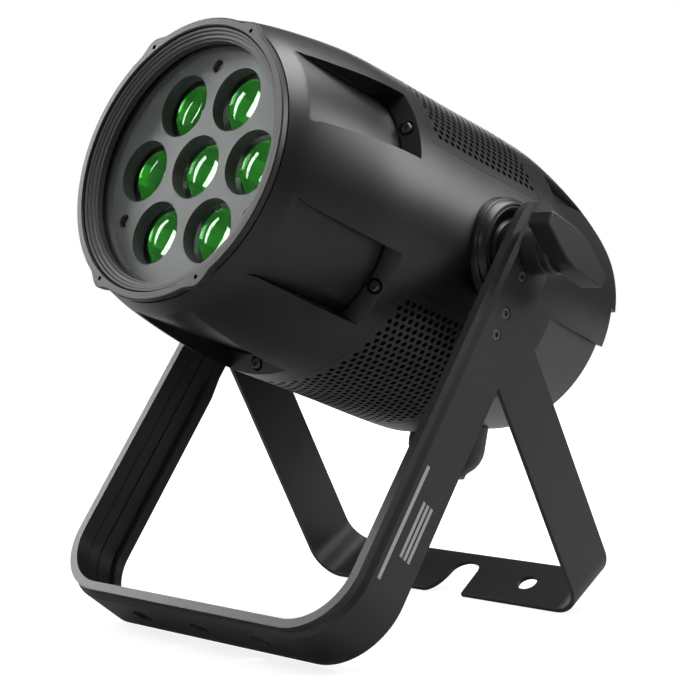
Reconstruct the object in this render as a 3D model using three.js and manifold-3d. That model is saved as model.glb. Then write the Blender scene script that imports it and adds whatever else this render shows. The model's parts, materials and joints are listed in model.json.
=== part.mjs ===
// Par can light on a double yoke: a barrel-shaped head that tilts between two pairs of arms.
// Millimetres, +Z up, the light faces -Y. The origin is under the middle of the whole object.
import * as THREE from "three";
import { mergeVertices } from "three/addons/utils/BufferGeometryUtils.js";
import Module from "manifold-3d";

const wasm = await Module();
wasm.setup();

const radians = THREE.MathUtils.degToRad;

// Length of an arm whose foot rests on one edge, that edge being aside from its centreline.
const dropTo = (height, aside, lean) =>
  (height - aside * Math.sin(radians(lean))) / Math.cos(radians(lean));

// ---- driving dimensions ----
const GAP = 0.3; // air between pieces that touch
const PIVOT_HEIGHT = 306; // tilt axis above the floor
const PIVOT_Y = 20.7; // tilt axis behind the middle of the footprint
const HEAD_TILT = 17; // degrees above level, as the head is stored

// Front yoke
const YOKE_HALF_WIDTH = 165;
const FRONT_LEAN = 36.2; // degrees that the front arms lean forward
const FRONT_BAR = 53;
const FRONT_THICKNESS = 10.4;
const FRONT_DROP = dropTo(PIVOT_HEIGHT, FRONT_BAR / 2, FRONT_LEAN);
const FRONT_CORNER = 56; // outer bend radius
const FRONT_TOP = 17; // centre of the round arm end above the tilt axis
const LIP_WIDTH = 8; // front lip of the bar, set back from the outer face
const LIP_SETBACK = 3.2;
const RIB_WIDTH = 10; // inner rib along the rear edge
const RIB_DEPTH = 4.4;
const RIB_START = 114; // the rib starts below the crossing with the rear yoke
const SCREW_DROPS = [25, 61, 81]; // arm screws below the tilt axis
const SCREW_HEAD = 5;
const SCREW_SHANK = 3;
const SCREW_HEAD_DEPTH = 3;
const BAR_HOLES = [-69, 0, 69];
const BAR_HOLE_RADIUS = 8.5;
const BAR_HOLE_Y = 3.5;

// Rear yoke
const REAR_LEAN = 30; // degrees that the rear arms lean backward
const REAR_BAR = 55;
const REAR_THICKNESS = 4;
const REAR_OFFSET = 53.9; // bar's centreline ahead of the tilt axis
const REAR_DROP = dropTo(PIVOT_HEIGHT, REAR_OFFSET + REAR_BAR / 2, REAR_LEAN);
const REAR_CORNER = 28;
const REAR_TOP = 10; // top edge of the arms below the tilt axis
const REAR_HALF_WIDTH = YOKE_HALF_WIDTH - FRONT_THICKNESS - GAP;
const HOOK_X = 6; // open slot for a clamp bolt
const HOOK_HALF = 14.5;
const HOOK_END = 2.5;
const REAR_HOLE_X = 80;
const REAR_HOLE_RADIUS = 9;

// Head: distances ahead of the tilt axis along the optical axis, then radii
const WALL = 3;
const JOIN = -45; // front shell meets rear shell
const FRONT_PROFILE = [
  [JOIN, 138.8],
  [-20, 138.3],
  [20, 137.3],
  [60, 136.9],
  [100, 136.4],
  [140, 134.6],
  [180, 128.7],
  [215, 121.4],
  [237, 114.2],
];
const REAR_PROFILE = [
  [-200, 112.5],
  [-187, 117],
  [-160, 124.6],
  [-130, 131],
  [-100, 136],
  [-75, 138.6],
  [JOIN - GAP, 138.8],
];
const RIM_STEP = -187; // rear rim of the lower half
const NOTCH_ANGLE = 4; // degrees above level where the rim steps back
const RECESS_ANGLE = -14; // lower recess of the rear shell starts here
const RECESS_FRONT = -78;
const RECESS_RIM = 110;

const SCOOPS = 6; // tapered recesses round the front shell
const SCOOP_FIRST = 30; // degrees above level of the first one
const SCOOP_HALF = 32.3;
const SCOOP_REAR = 111;
const SCOOP_FRONT = 221;
const SCOOP_FLOOR = 120;
const SCOOP_SCREW = 127.5; // radius at which its screw sits

const PANEL_EDGE = 25; // degrees from level where the vent panels start
const PANEL_FRONT = 96;
const PANEL_SEAT = 8; // width of the ledge under a panel
const PANEL_THICKNESS = 1.8;
const SHELL_SCREW = 2; // shank radius

const FLANGE_FRONT = 243;
const FLANGE_REAR = 237 + GAP;
const FLANGE_RADIUS = 113.4;
const FLANGE_BORE = 106.6;
const EAR_X = 55.9;
const EAR_Z = 95.9;
const EAR_RADIUS = 7;
const GLASS_RADIUS = 105.5;
const MASK_FRONT = 220;
const MASK_RADIUS = 96.5;
const SHELF_BORE = 100; // ledge that the glass rests on
const SHELF_REAR = 214;
const SHELF_FRONT = 222;
const LENS_PITCH = 60.6;
const LENS_HOLE = 25.8;
const LENS_RADIUS = 24;
const LENS_SEAT = 203;
const ROD_CIRCLE = 83;
const ROD_RADIUS = 4;
const LED_FACE = 141;

const HUB_RADIUS = 44;
const HUB_ROOT = 127;
const HUB_FACE = 147.3;
const NECK_RADIUS = 24;
const STUD_RADIUS = 6;
const KNOB_HUB = 19;
const KNOB_FACE = 208;
const WING_ROOT = 188;
const WING_HALF = 44;
const WING_TIP = 4.5;
const WING_WAIST = 14;
const WING_BEVEL = 1.5;
const WING_ANGLE = -34.6; // degrees from level, seen from the right

const CAP_RADIUS = 15;
const CAP_NAMES = ["power_in_cap", "power_out_cap", "data_in_cap", "data_out_cap"];
const CAP_X = [-66, -24, 24, 66];
const CAP_Z = [-50, -74, -74, -50];
const CAP_LENGTH = 9.5;
const PANEL_OUT = -186; // outer face of the back panel
const PANEL_RADIUS = 106.4;
const BUTTONS = 4;
const BUTTON_STEP = 17;
const BUTTON_RADIUS = 5;
const BUTTON_STEM = 3;
const BUTTON_Z = 12;
const BUTTON_TRAVEL = 1.2;
const DISPLAY_Z = 46;
const EYE_Z = 84;
const EYE_RADIUS = 4;
const DOME_AHEAD = -136; // dome under the belly
const FAN_REAR = 30;
const FAN_DEPTH = 25;
const FAN_BLADES = 7;

// ---- materials ----
const finish = (color, roughness, metalness) =>
  new THREE.MeshStandardMaterial({ color, roughness, metalness });
const powderCoat = finish(0x1b1c1e, 0.6, 0.2);
const blackPlastic = finish(0x141517, 0.5, 0);
const blackRubber = finish(0x101011, 0.85, 0);
const steel = finish(0x8d9094, 0.35, 1);
const blackSteel = finish(0x202124, 0.4, 0.9);
const aluminium = finish(0xa9acb0, 0.45, 0.9);
const clearGlass = finish(0xcfd8d2, 0.05, 0);
const lensGlass = finish(0x9fe0a4, 0.08, 0);
const circuitBoard = finish(0x1d3a2c, 0.6, 0);

// ---- helpers ----
// A three.js geometry as a manifold-3d solid, faces out.
function solid(geometry) {
  const bare = geometry.index ? geometry.toNonIndexed() : geometry.clone();
  bare.deleteAttribute("normal");
  bare.deleteAttribute("uv");
  const merged = mergeVertices(bare, 1e-4);
  const index = merged.index.array;
  const kept = [];
  for (let i = 0; i < index.length; i += 3) {
    const [a, b, c] = [index[i], index[i + 1], index[i + 2]];
    if (a !== b && b !== c && c !== a) kept.push(a, b, c);
  }
  const build = (triangles) =>
    new wasm.Manifold(
      new wasm.Mesh({
        numProp: 3,
        vertProperties: merged.attributes.position.array,
        triVerts: new Uint32Array(triangles),
      }),
    );
  const made = build(kept);
  return made.volume() > 0 ? made : build(kept.reverse());
}

const joined = (...parts) => parts.reduce((all, one) => all.add(one));
const cut = (body, ...tools) => tools.reduce((left, tool) => left.subtract(tool), body);

// An [ahead, radius] outline turned about the optical axis; ahead is -Y.
function turnedGeometry(outline, segments) {
  const onAxis = outline[0][1] === 0 && outline.at(-1)[1] === 0;
  const loop = onAxis ? outline : [...outline, outline[0]];
  const points = loop.map(([ahead, radius]) => new THREE.Vector2(radius, -ahead));
  return new THREE.LatheGeometry(points, segments);
}

const turned = (outline, segments = 40) => solid(turnedGeometry(outline, segments));

const ring = (rear, front, inner, outer, segments = 40) =>
  turned([[rear, inner], [rear, outer], [front, outer], [front, inner]], segments);

const boxGeometry = (x0, x1, y0, y1, z0, z1) =>
  new THREE.BoxGeometry(x1 - x0, y1 - y0, z1 - z0).translate(
    (x0 + x1) / 2,
    (y0 + y1) / 2,
    (z0 + z1) / 2,
  );

const block = (...limits) => solid(boxGeometry(...limits));

// A round bar along the optical axis, its middle line at x, z.
const barY = (radius, rear, front, x = 0, z = 0, segments = 16) =>
  solid(
    new THREE.CylinderGeometry(radius, radius, front - rear, segments).translate(
      x,
      -(rear + front) / 2,
      z,
    ),
  );

const barX = (radius, x0, x1, y = 0, z = 0, segments = 16) =>
  solid(
    new THREE.CylinderGeometry(radius, radius, x1 - x0, segments)
      .rotateZ(Math.PI / 2)
      .translate((x0 + x1) / 2, y, z),
  );

const barZ = (radius, z0, z1, x = 0, y = 0, segments = 16) =>
  solid(
    new THREE.CylinderGeometry(radius, radius, z1 - z0, segments)
      .rotateX(Math.PI / 2)
      .translate(x, y, (z0 + z1) / 2),
  );

// A flat x, z outline given a thickness along Y.
const slab = (shape, y0, y1) =>
  solid(
    new THREE.ExtrudeGeometry(shape, {
      depth: y1 - y0,
      bevelEnabled: false,
      curveSegments: 7,
    })
      .rotateX(Math.PI / 2)
      .translate(0, y1, 0),
  );

// Points spread round the optical axis, as x and z.
function spread(count, radius, first) {
  return Array.from({ length: count }, (_, i) => {
    const angle = radians(first + (360 / count) * i);
    return [radius * Math.cos(angle), radius * Math.sin(angle)];
  });
}

function mesh(name, body, material, parent) {
  const data = body.getMesh();
  const geometry = new THREE.BufferGeometry();
  geometry.setAttribute("position", new THREE.BufferAttribute(data.vertProperties, 3));
  geometry.setIndex(new THREE.BufferAttribute(data.triVerts, 1));
  geometry.computeVertexNormals();
  const made = new THREE.Mesh(geometry, material);
  made.name = name;
  parent.add(made);
}

const light = new THREE.Group();
const atPivot = new THREE.Group();
atPivot.position.set(0, PIVOT_Y, PIVOT_HEIGHT);
const frontFrame = new THREE.Group(); // -Z runs down the front arms
frontFrame.rotation.x = -radians(FRONT_LEAN);
const rearFrame = new THREE.Group(); // -Z runs down the rear arms
rearFrame.rotation.x = radians(REAR_LEAN);
const head = new THREE.Group(); // -Y is the optical axis
head.rotation.x = -radians(HEAD_TILT);
light.add(atPivot);
atPivot.add(frontFrame, rearFrame, head);

const SIDES = [
  ["right", 1],
  ["left", -1],
];

// Limits along X of a piece from one distance out to another, on the side given.
const outward = (side, from, to) => (side > 0 ? [from, to] : [-to, -from]);

// ---- yokes ----
// A U with arms up to top, the given wall, and its bends round inside and out.
function bentBar(halfWidth, drop, corner, wall, top) {
  const shape = new THREE.Shape();
  const inner = halfWidth - wall;
  const bend = corner - wall;
  const bendX = halfWidth - corner;
  const bendZ = corner - drop;
  shape.moveTo(-halfWidth, top);
  shape.lineTo(-halfWidth, bendZ);
  shape.absarc(-bendX, bendZ, corner, Math.PI, 1.5 * Math.PI);
  shape.lineTo(bendX, -drop);
  shape.absarc(bendX, bendZ, corner, 1.5 * Math.PI, 2 * Math.PI);
  shape.lineTo(halfWidth, top);
  shape.lineTo(inner, top);
  shape.lineTo(inner, bendZ);
  shape.absarc(bendX, bendZ, bend, 0, -0.5 * Math.PI, true);
  shape.lineTo(-bendX, wall - drop);
  shape.absarc(-bendX, bendZ, bend, -0.5 * Math.PI, -Math.PI, true);
  shape.lineTo(-inner, top);
  shape.closePath();
  return shape;
}

function frontYoke() {
  const half = FRONT_BAR / 2;
  const lipEdge = LIP_WIDTH - half;
  const top = FRONT_TOP + half;
  const reach = YOKE_HALF_WIDTH + 1;
  const setBack = (depth, wall, height) =>
    bentBar(
      YOKE_HALF_WIDTH - depth,
      FRONT_DROP - depth,
      FRONT_CORNER - depth,
      wall,
      height,
    );
  const ribInset = FRONT_THICKNESS - 1;
  const bar = joined(
    slab(setBack(0, FRONT_THICKNESS, top), lipEdge, half),
    slab(setBack(LIP_SETBACK, FRONT_THICKNESS - LIP_SETBACK, top), -half, lipEdge),
    slab(setBack(ribInset, RIB_DEPTH + 1, -RIB_START), half - RIB_WIDTH, half),
  );
  const squareEnds = block(-reach, reach, -half - 1, half + 1, FRONT_TOP, top + 1);
  const roundEnd = barX(half, -reach - 1, reach + 1, 0, FRONT_TOP, 32);
  const screwCuts = SCREW_DROPS.flatMap((drop) => [
    barX(SCREW_SHANK + GAP, -reach, reach, 0, -drop, 16),
    ...SIDES.map(([, side]) => {
      const seat = YOKE_HALF_WIDTH - SCREW_HEAD_DEPTH - GAP;
      return barX(SCREW_HEAD + GAP, ...outward(side, seat, reach), 0, -drop, 16);
    }),
  ]);
  return cut(
    bar,
    cut(squareEnds, roundEnd),
    barX(STUD_RADIUS + GAP, -reach, reach, 0, 0),
    ...screwCuts,
    ...BAR_HOLES.map((x) =>
      barZ(BAR_HOLE_RADIUS, -FRONT_DROP - 1, FRONT_THICKNESS - FRONT_DROP + 1, x, BAR_HOLE_Y),
    ),
  );
}

function hookSlot() {
  const edge = -REAR_BAR / 2 - 1;
  const shape = new THREE.Shape();
  shape.moveTo(HOOK_X - HOOK_HALF - 16, edge);
  shape.lineTo(HOOK_X - HOOK_HALF - 10, edge + 2);
  shape.quadraticCurveTo(HOOK_X - HOOK_HALF, edge + 8, HOOK_X - HOOK_HALF, HOOK_END);
  shape.absarc(HOOK_X, HOOK_END, HOOK_HALF, Math.PI, 0, true);
  shape.lineTo(HOOK_X + HOOK_HALF + 3, edge);
  shape.closePath();
  return solid(
    new THREE.ExtrudeGeometry(shape, {
      depth: REAR_THICKNESS + 2,
      bevelEnabled: false,
      curveSegments: 8,
    }).translate(0, -REAR_OFFSET, -REAR_DROP - 1),
  );
}

function rearYoke() {
  const half = REAR_BAR / 2;
  const reach = REAR_HALF_WIDTH + 1;
  const plate = slab(
    bentBar(REAR_HALF_WIDTH, REAR_DROP, REAR_CORNER, REAR_THICKNESS, -REAR_TOP),
    -REAR_OFFSET - half,
    -REAR_OFFSET + half,
  );
  const lean = radians(FRONT_LEAN + REAR_LEAN);
  const screwCuts = SCREW_DROPS.slice(1).map((drop) =>
    barX(SCREW_SHANK + GAP, -reach, reach, -drop * Math.sin(lean), -drop * Math.cos(lean), 16),
  );
  const bolt = barZ(
    REAR_HOLE_RADIUS,
    -REAR_DROP - 1,
    REAR_THICKNESS - REAR_DROP + 1,
    REAR_HOLE_X,
    -REAR_OFFSET,
  );
  return cut(plate, hookSlot(), bolt, ...screwCuts);
}

function armScrew(side, drop) {
  const crossesRear = drop !== SCREW_DROPS[0];
  const inner = YOKE_HALF_WIDTH - FRONT_THICKNESS - (crossesRear ? REAR_THICKNESS : 0);
  const seat = YOKE_HALF_WIDTH - SCREW_HEAD_DEPTH;
  const headBar = barX(SCREW_HEAD, ...outward(side, seat, YOKE_HALF_WIDTH - 0.2), 0, -drop, 16);
  const shank = barX(SCREW_SHANK, ...outward(side, inner, seat + 1), 0, -drop, 12);
  return joined(headBar, shank);
}

mesh("front_yoke", frontYoke(), powderCoat, frontFrame);
mesh("rear_yoke", rearYoke(), powderCoat, rearFrame);
for (const [name, side] of SIDES) {
  SCREW_DROPS.forEach((drop, i) =>
    mesh(`arm_screw_${name}_${i + 1}`, armScrew(side, drop), blackSteel, frontFrame),
  );
}

// ---- lock knobs and tilt hubs ----
function wing(side) {
  const shape = new THREE.Shape();
  shape.moveTo(-WING_HALF, -WING_TIP);
  shape.lineTo(-WING_TIP, -WING_WAIST);
  shape.lineTo(WING_TIP, -WING_WAIST);
  shape.lineTo(WING_HALF, -WING_TIP);
  shape.lineTo(WING_HALF, WING_TIP);
  shape.lineTo(WING_TIP, WING_WAIST);
  shape.lineTo(-WING_TIP, WING_WAIST);
  shape.lineTo(-WING_HALF, WING_TIP);
  shape.closePath();
  const geometry = new THREE.ExtrudeGeometry(shape, {
    depth: KNOB_FACE - WING_ROOT - 2 * WING_BEVEL,
    bevelEnabled: true,
    bevelThickness: WING_BEVEL,
    bevelSize: WING_BEVEL,
    bevelOffset: -WING_BEVEL,
    bevelSegments: 1,
  });
  // Outline x, y to Y, Z; the depth along X.
  geometry.translate(0, 0, (side > 0 ? WING_ROOT : -KNOB_FACE) + WING_BEVEL);
  geometry.rotateZ(radians(WING_ANGLE));
  return geometry.rotateX(Math.PI / 2).rotateZ(Math.PI / 2);
}

function lockKnob(side) {
  const hub = barX(KNOB_HUB, ...outward(side, YOKE_HALF_WIDTH + GAP, WING_ROOT + 2), 0, 0, 32);
  const bore = barX(STUD_RADIUS + GAP, ...outward(side, YOKE_HALF_WIDTH - 1, WING_ROOT - 6));
  return cut(joined(hub, solid(wing(side))), bore);
}

// Hub on the side of the head: a disc let into the shell, then a neck up to the arm.
function tiltHub(side) {
  const neckFace = YOKE_HALF_WIDTH - FRONT_THICKNESS - 2 * GAP - 1.5;
  return cut(
    joined(
      barX(HUB_RADIUS, ...outward(side, HUB_ROOT, HUB_FACE - 6), 0, 0, 36),
      barX(HUB_RADIUS - 5, ...outward(side, HUB_ROOT, HUB_FACE), 0, 0, 36),
      barX(NECK_RADIUS, ...outward(side, HUB_ROOT, neckFace), 0, 0, 24),
    ),
    barX(STUD_RADIUS + GAP, ...outward(side, HUB_FACE - 14, neckFace + 1)),
  );
}

function frictionWasher(side) {
  const inner = YOKE_HALF_WIDTH - FRONT_THICKNESS - GAP - 1.5;
  const outer = YOKE_HALF_WIDTH - FRONT_THICKNESS - GAP;
  return cut(
    barX(NECK_RADIUS - 1, ...outward(side, inner, outer), 0, 0, 24),
    barX(STUD_RADIUS + GAP, ...outward(side, inner - 1, outer + 1)),
  );
}

for (const [name, side] of SIDES) {
  mesh(`lock_knob_${name}`, lockKnob(side), blackPlastic, atPivot);
  mesh(
    `knob_stud_${name}`,
    barX(STUD_RADIUS, ...outward(side, HUB_FACE - 10, WING_ROOT - 6 - GAP)),
    steel,
    atPivot,
  );
  mesh(`friction_washer_${name}`, frictionWasher(side), blackPlastic, atPivot);
  mesh(`tilt_hub_${name}`, tiltHub(side), powderCoat, head);
}

// ---- shells ----
const offset = (profile, inward) => profile.map(([ahead, radius]) => [ahead, radius - inward]);

// A wedge of space seen along the optical axis, between two angles, inside the given limits.
function sector(from, to, rear, front, radius) {
  const shape = new THREE.Shape();
  shape.moveTo(0, 0);
  const steps = 8;
  for (let i = 0; i <= steps; i += 1) {
    const angle = radians(from + ((to - from) * i) / steps);
    shape.lineTo(radius * Math.cos(angle), radius * Math.sin(angle));
  }
  shape.closePath();
  return slab(shape, -front, -rear);
}

// The space of one scoop, grown by extra on its sides and floor.
function scoop(angle, extra) {
  const reach = 160;
  const box = solid(
    boxGeometry(
      100,
      reach,
      -SCOOP_FRONT - 20,
      extra - SCOOP_REAR,
      -SCOOP_HALF - extra,
      SCOOP_HALF + extra,
    ).rotateY(-radians(angle)),
  );
  const floor = turned([
    [SCOOP_REAR - extra - 5, 0],
    [SCOOP_REAR - extra - 5, SCOOP_FLOOR - extra],
    [SCOOP_FRONT + 25, SCOOP_FLOOR - extra],
    [SCOOP_FRONT + 25, 0],
  ]);
  return box.subtract(floor);
}

const scoopAngles = Array.from({ length: SCOOPS }, (_, i) => SCOOP_FIRST + (360 / SCOOPS) * i);

function frontShell() {
  const front = FRONT_PROFILE.at(-1)[0];
  const outside = turned([[JOIN, 0], ...FRONT_PROFILE, [front, 0]]);
  const lining = offset(FRONT_PROFILE, WALL);
  const inside = turned([
    [JOIN - 1, 0],
    [JOIN - 1, lining[0][1]],
    ...lining.slice(0, -2),
    [SHELF_REAR - 1, 112],
    [SHELF_REAR, SHELF_BORE],
    [SHELF_FRONT, SHELF_BORE],
    [SHELF_FRONT, FLANGE_BORE - GAP],
    [front + 1, FLANGE_BORE - GAP],
    [front + 1, 0],
  ]);
  let body = outside;
  let hollow = inside;
  for (const angle of scoopAngles) {
    body = body.subtract(scoop(angle, 0));
    hollow = hollow.subtract(scoop(angle, WALL));
  }
  body = body.subtract(hollow);
  for (const up of [1, -1]) body = body.subtract(panelOpening(up));
  for (const [x, z] of spread(SCOOPS, SCOOP_SCREW, SCOOP_FIRST)) {
    body = body.subtract(barY(SHELL_SCREW + GAP, SCOOP_REAR - 30, SCOOP_REAR + 20, x, z, 12));
  }
  for (const [, side] of SIDES) {
    body = body.subtract(barX(HUB_RADIUS + GAP, ...outward(side, 100, 150), 0, 0, 36));
  }
  return body;
}

// The vent opening: the panel's own thickness over its whole size, and right through
// inside the ledge that it lies on.
function panelOpening(up) {
  const from = up > 0 ? PANEL_EDGE : 180 + PANEL_EDGE;
  const to = from + 180 - 2 * PANEL_EDGE;
  const ledge = (PANEL_SEAT / 137) * (180 / Math.PI);
  const outer = FRONT_PROFILE.filter(([ahead]) => ahead < PANEL_FRONT);
  const edge = [PANEL_FRONT, 136.45];
  const shallow = turned([
    ...offset([...outer, edge], PANEL_THICKNESS),
    [PANEL_FRONT, 150],
    [JOIN - 1, 150],
    [JOIN - 1, 138.8 - PANEL_THICKNESS],
  ]).intersect(sector(from, to, JOIN - 1, PANEL_FRONT, 160));
  const through = sector(from + ledge, to - ledge, JOIN + PANEL_SEAT, PANEL_FRONT - PANEL_SEAT, 160)
    .subtract(barY(110, JOIN - 2, PANEL_FRONT + 2, 0, 0, 36));
  return joined(shallow, through);
}

// A curved vent panel that lies on the ledge.
function ventPanel(up) {
  const from = (up > 0 ? 0 : 180) + PANEL_EDGE + 0.15;
  const to = from + 180 - 2 * PANEL_EDGE - 0.3;
  const outer = FRONT_PROFILE.filter(([ahead]) => ahead > JOIN && ahead < PANEL_FRONT);
  const line = [[JOIN + GAP, 138.8], ...outer, [PANEL_FRONT - GAP, 136.45]];
  const skin = turned([...line, ...offset(line, PANEL_THICKNESS - GAP).reverse()]);
  return skin.intersect(sector(from, to, JOIN, PANEL_FRONT, 160));
}

function rearShell() {
  const rim = REAR_PROFILE[0][0];
  const outside = turned([[rim, 0], ...REAR_PROFILE, [JOIN - GAP, 0]]);
  const lining = offset(REAR_PROFILE, WALL + 1);
  const inside = turned([
    [rim - 1, 0],
    [rim - 1, lining[0][1]],
    ...lining,
    [JOIN + 1, lining.at(-1)[1]],
    [JOIN + 1, 0],
  ]);
  const recess = turned([
    [rim - 1, RECESS_RIM],
    [RIM_STEP, RECESS_RIM],
    [RECESS_FRONT, 137.4],
    [RECESS_FRONT, 150],
    [rim - 1, 150],
  ]);
  const low = sector(-180 - RECESS_ANGLE, RECESS_ANGLE, rim - 2, JOIN, 160);
  const step = sector(-180 - NOTCH_ANGLE, NOTCH_ANGLE, rim - 2, RIM_STEP, 160);
  const recessCut = recess.intersect(low);
  const thicker = turned([
    [RIM_STEP - 2, 0],
    [RIM_STEP - 2, RECESS_RIM - WALL],
    [RECESS_FRONT + 2, 137.4 - WALL - 2],
    [RECESS_FRONT + 2, 0],
  ]);
  const liningCut = inside.subtract(
    sector(-180 - RECESS_ANGLE - 2, RECESS_ANGLE + 2, rim - 2, RECESS_FRONT + 2, 160).subtract(thicker),
  );
  return cut(outside, recessCut, step, liningCut);
}

// ---- front of the head ----
function frontRing() {
  const corners = [-1, 1].flatMap((i) => [-1, 1].map((j) => [i * EAR_X, j * EAR_Z]));
  const ears = corners.map(([x, z]) => barY(EAR_RADIUS, FLANGE_REAR, FLANGE_FRONT, x, z));
  const holes = corners.map(([x, z]) => barY(1.7, FLANGE_REAR - 1, FLANGE_FRONT + 1, x, z, 12));
  const disc = barY(FLANGE_RADIUS, FLANGE_REAR, FLANGE_FRONT, 0, 0, 60);
  const bore = barY(FLANGE_BORE, FLANGE_REAR - 1, FLANGE_FRONT + 1, 0, 0, 60);
  return cut(joined(disc, ...ears), bore, ...holes);
}

const GLASS_REAR = SHELF_FRONT + 2 + 2 * GAP;
const GLASS_FRONT = GLASS_REAR + 5;

function retainingRing() {
  const rear = GLASS_FRONT + GAP;
  const bore = MASK_RADIUS + 0.5;
  return turned([
    [rear, bore],
    [rear, FLANGE_BORE - 0.7],
    [FLANGE_FRONT - 2, FLANGE_BORE - 0.7],
    [FLANGE_FRONT - 2, 103.2],
    [FLANGE_FRONT - 3.7, 103.2],
    [FLANGE_FRONT - 3.7, 100.8],
    [FLANGE_FRONT - 5.5, 100.8],
    [FLANGE_FRONT - 5.5, bore],
  ]);
}

const lensPlaces = [[0, 0], ...spread(6, LENS_PITCH, 0)];
const rodPlaces = spread(3, ROD_CIRCLE, 90);

function lensMask() {
  const rear = MASK_FRONT - 4;
  const sleeve = ring(rear - 2, SHELF_FRONT + 1.9, MASK_RADIUS, SHELF_BORE - GAP);
  const plate = barY(MASK_RADIUS + 1, rear, MASK_FRONT, 0, 0, 40);
  const windows = lensPlaces.map(([x, z]) =>
    barY(LENS_HOLE, rear - 1, MASK_FRONT + 1, x, z, 20),
  );
  const holes = rodPlaces.map(([x, z]) => barY(5.5, rear - 1, MASK_FRONT + 1, x, z, 12));
  return cut(joined(sleeve, plate), ...windows, ...holes);
}

mesh("front_ring", frontRing(), powderCoat, head);
mesh(
  "glass_gasket",
  ring(SHELF_FRONT + GAP, SHELF_FRONT + GAP + 2, SHELF_BORE + 0.5, GLASS_RADIUS),
  blackRubber,
  head,
);
mesh("front_glass", barY(GLASS_RADIUS, GLASS_REAR, GLASS_FRONT, 0, 0, 40), clearGlass, head);
mesh("retaining_ring", retainingRing(), blackPlastic, head);
mesh("lens_mask", lensMask(), blackPlastic, head);
mesh("front_shell", frontShell(), powderCoat, head);
mesh("vent_panel_upper", ventPanel(1), powderCoat, head);
mesh("vent_panel_lower", ventPanel(-1), powderCoat, head);
mesh("rear_shell", rearShell(), powderCoat, head);

spread(SCOOPS, SCOOP_SCREW, SCOOP_FIRST).forEach(([x, z], i) => {
  const shank = barY(SHELL_SCREW, SCOOP_REAR - 8, SCOOP_REAR + 1, x, z, 12);
  const screwHead = barY(4.5, SCOOP_REAR + GAP, SCOOP_REAR + 5, x, z, 16);
  mesh(`shell_screw_${i + 1}`, joined(shank, screwHead), blackSteel, head);
});

// ---- zoom optics ----
function lensPlate() {
  const [rear, front] = [LENS_SEAT - 6, LENS_SEAT];
  const windows = lensPlaces.map(([x, z]) => barY(LENS_RADIUS - 2.5, rear - 1, front + 1, x, z, 12));
  const bushes = rodPlaces.map(([x, z]) => barY(7, rear - 6, front, x, z, 12));
  const bores = rodPlaces.map(([x, z]) => barY(ROD_RADIUS + 0.4, rear - 7, front + 1, x, z, 12));
  return cut(joined(barY(92, rear, front, 0, 0, 36), ...bushes), ...windows, ...bores);
}

// Seven domed lenses on one thin web.
function lensArray() {
  const seat = LENS_SEAT + GAP;
  const steps = 3;
  const dome = [[seat, 0]];
  for (let i = 0; i <= steps; i += 1) {
    const turn = (Math.PI / 2) * (i / steps);
    dome.push([seat + 2 + 8 * Math.sin(turn), i < steps ? LENS_RADIUS * Math.cos(turn) : 0]);
  }
  dome.splice(1, 0, [seat, LENS_RADIUS]);
  const domes = lensPlaces.map(([x, z]) =>
    solid(turnedGeometry(dome, 12).translate(x, 0, z)),
  );
  const web = lensPlaces.slice(1).map(([x, z]) => {
    const arm = boxGeometry(0, LENS_PITCH, -seat - 1.6, -seat, -4, 4);
    return solid(arm.rotateY(-Math.atan2(z, x)));
  });
  return joined(...domes, ...web);
}

function ledBoard() {
  const rear = LED_FACE - 7;
  const optics = lensPlaces.flatMap(([x, z]) => [
    barY(11, rear + 1, LED_FACE, x, z, 8),
    barY(7.5, LED_FACE - 1, LED_FACE + 10, x, z, 8),
  ]);
  const holes = rodPlaces.map(([x, z]) => barY(ROD_RADIUS + 1, rear - 1, rear + 3, x, z, 12));
  return cut(joined(barY(90, rear, rear + 2, 0, 0, 32), ...optics), ...holes);
}

const SINK_FRONT = LED_FACE - 7 - GAP;

function heatSink() {
  const base = barY(98, SINK_FRONT - 10, SINK_FRONT, 0, 0, 40);
  const envelope = barY(95, SINK_FRONT - 74, SINK_FRONT - 9, 0, 0, 32);
  const fins = [];
  for (let x = -84; x <= 84; x += 14) {
    const fin = block(x - 1.5, x + 1.5, 9 - SINK_FRONT, 74 - SINK_FRONT, -95, 95);
    fins.push(fin.intersect(envelope));
  }
  const bay = block(-17, 17, -SINK_FRONT - 1, 75 - SINK_FRONT, ROD_CIRCLE - 16, 110);
  return cut(joined(base, ...fins), bay);
}

mesh("lens_plate", lensPlate(), blackPlastic, head);
mesh("lens_array", lensArray(), lensGlass, head);
mesh("led_board", ledBoard(), circuitBoard, head);
mesh("heat_sink", heatSink(), aluminium, head);
rodPlaces.slice(1).forEach(([x, z], i) =>
  mesh(
    `guide_rod_${i + 1}`,
    barY(ROD_RADIUS, SINK_FRONT + GAP, MASK_FRONT - 4 - GAP, x, z),
    steel,
    head,
  ),
);
mesh(
  "lead_screw",
  barY(ROD_RADIUS, SINK_FRONT - 1, MASK_FRONT - 4 - GAP, ...rodPlaces[0]),
  steel,
  head,
);
mesh(
  "zoom_motor",
  block(-14, 14, 1 + GAP - SINK_FRONT, 33 - SINK_FRONT, ROD_CIRCLE - 14, ROD_CIRCLE + 14),
  blackSteel,
  head,
);

// ---- cooling, chassis and electronics ----
const FAN_FRONT = FAN_REAR + FAN_DEPTH;
const FAN_BORE = 56;

function fanFrame() {
  const frame = block(-60, 60, -FAN_FRONT, -FAN_REAR, -60, 60);
  const bore = barY(FAN_BORE, FAN_REAR - 1, FAN_FRONT + 1, 0, 0, 32);
  const seat = barY(17, FAN_REAR, FAN_REAR + 2, 0, 0, 24);
  const struts = [0, 60, 120].map((angle) =>
    solid(boxGeometry(-58, 58, -FAN_REAR - 2, -FAN_REAR, -2, 2).rotateY(radians(angle))),
  );
  return joined(cut(frame, bore), seat, ...struts);
}

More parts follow.
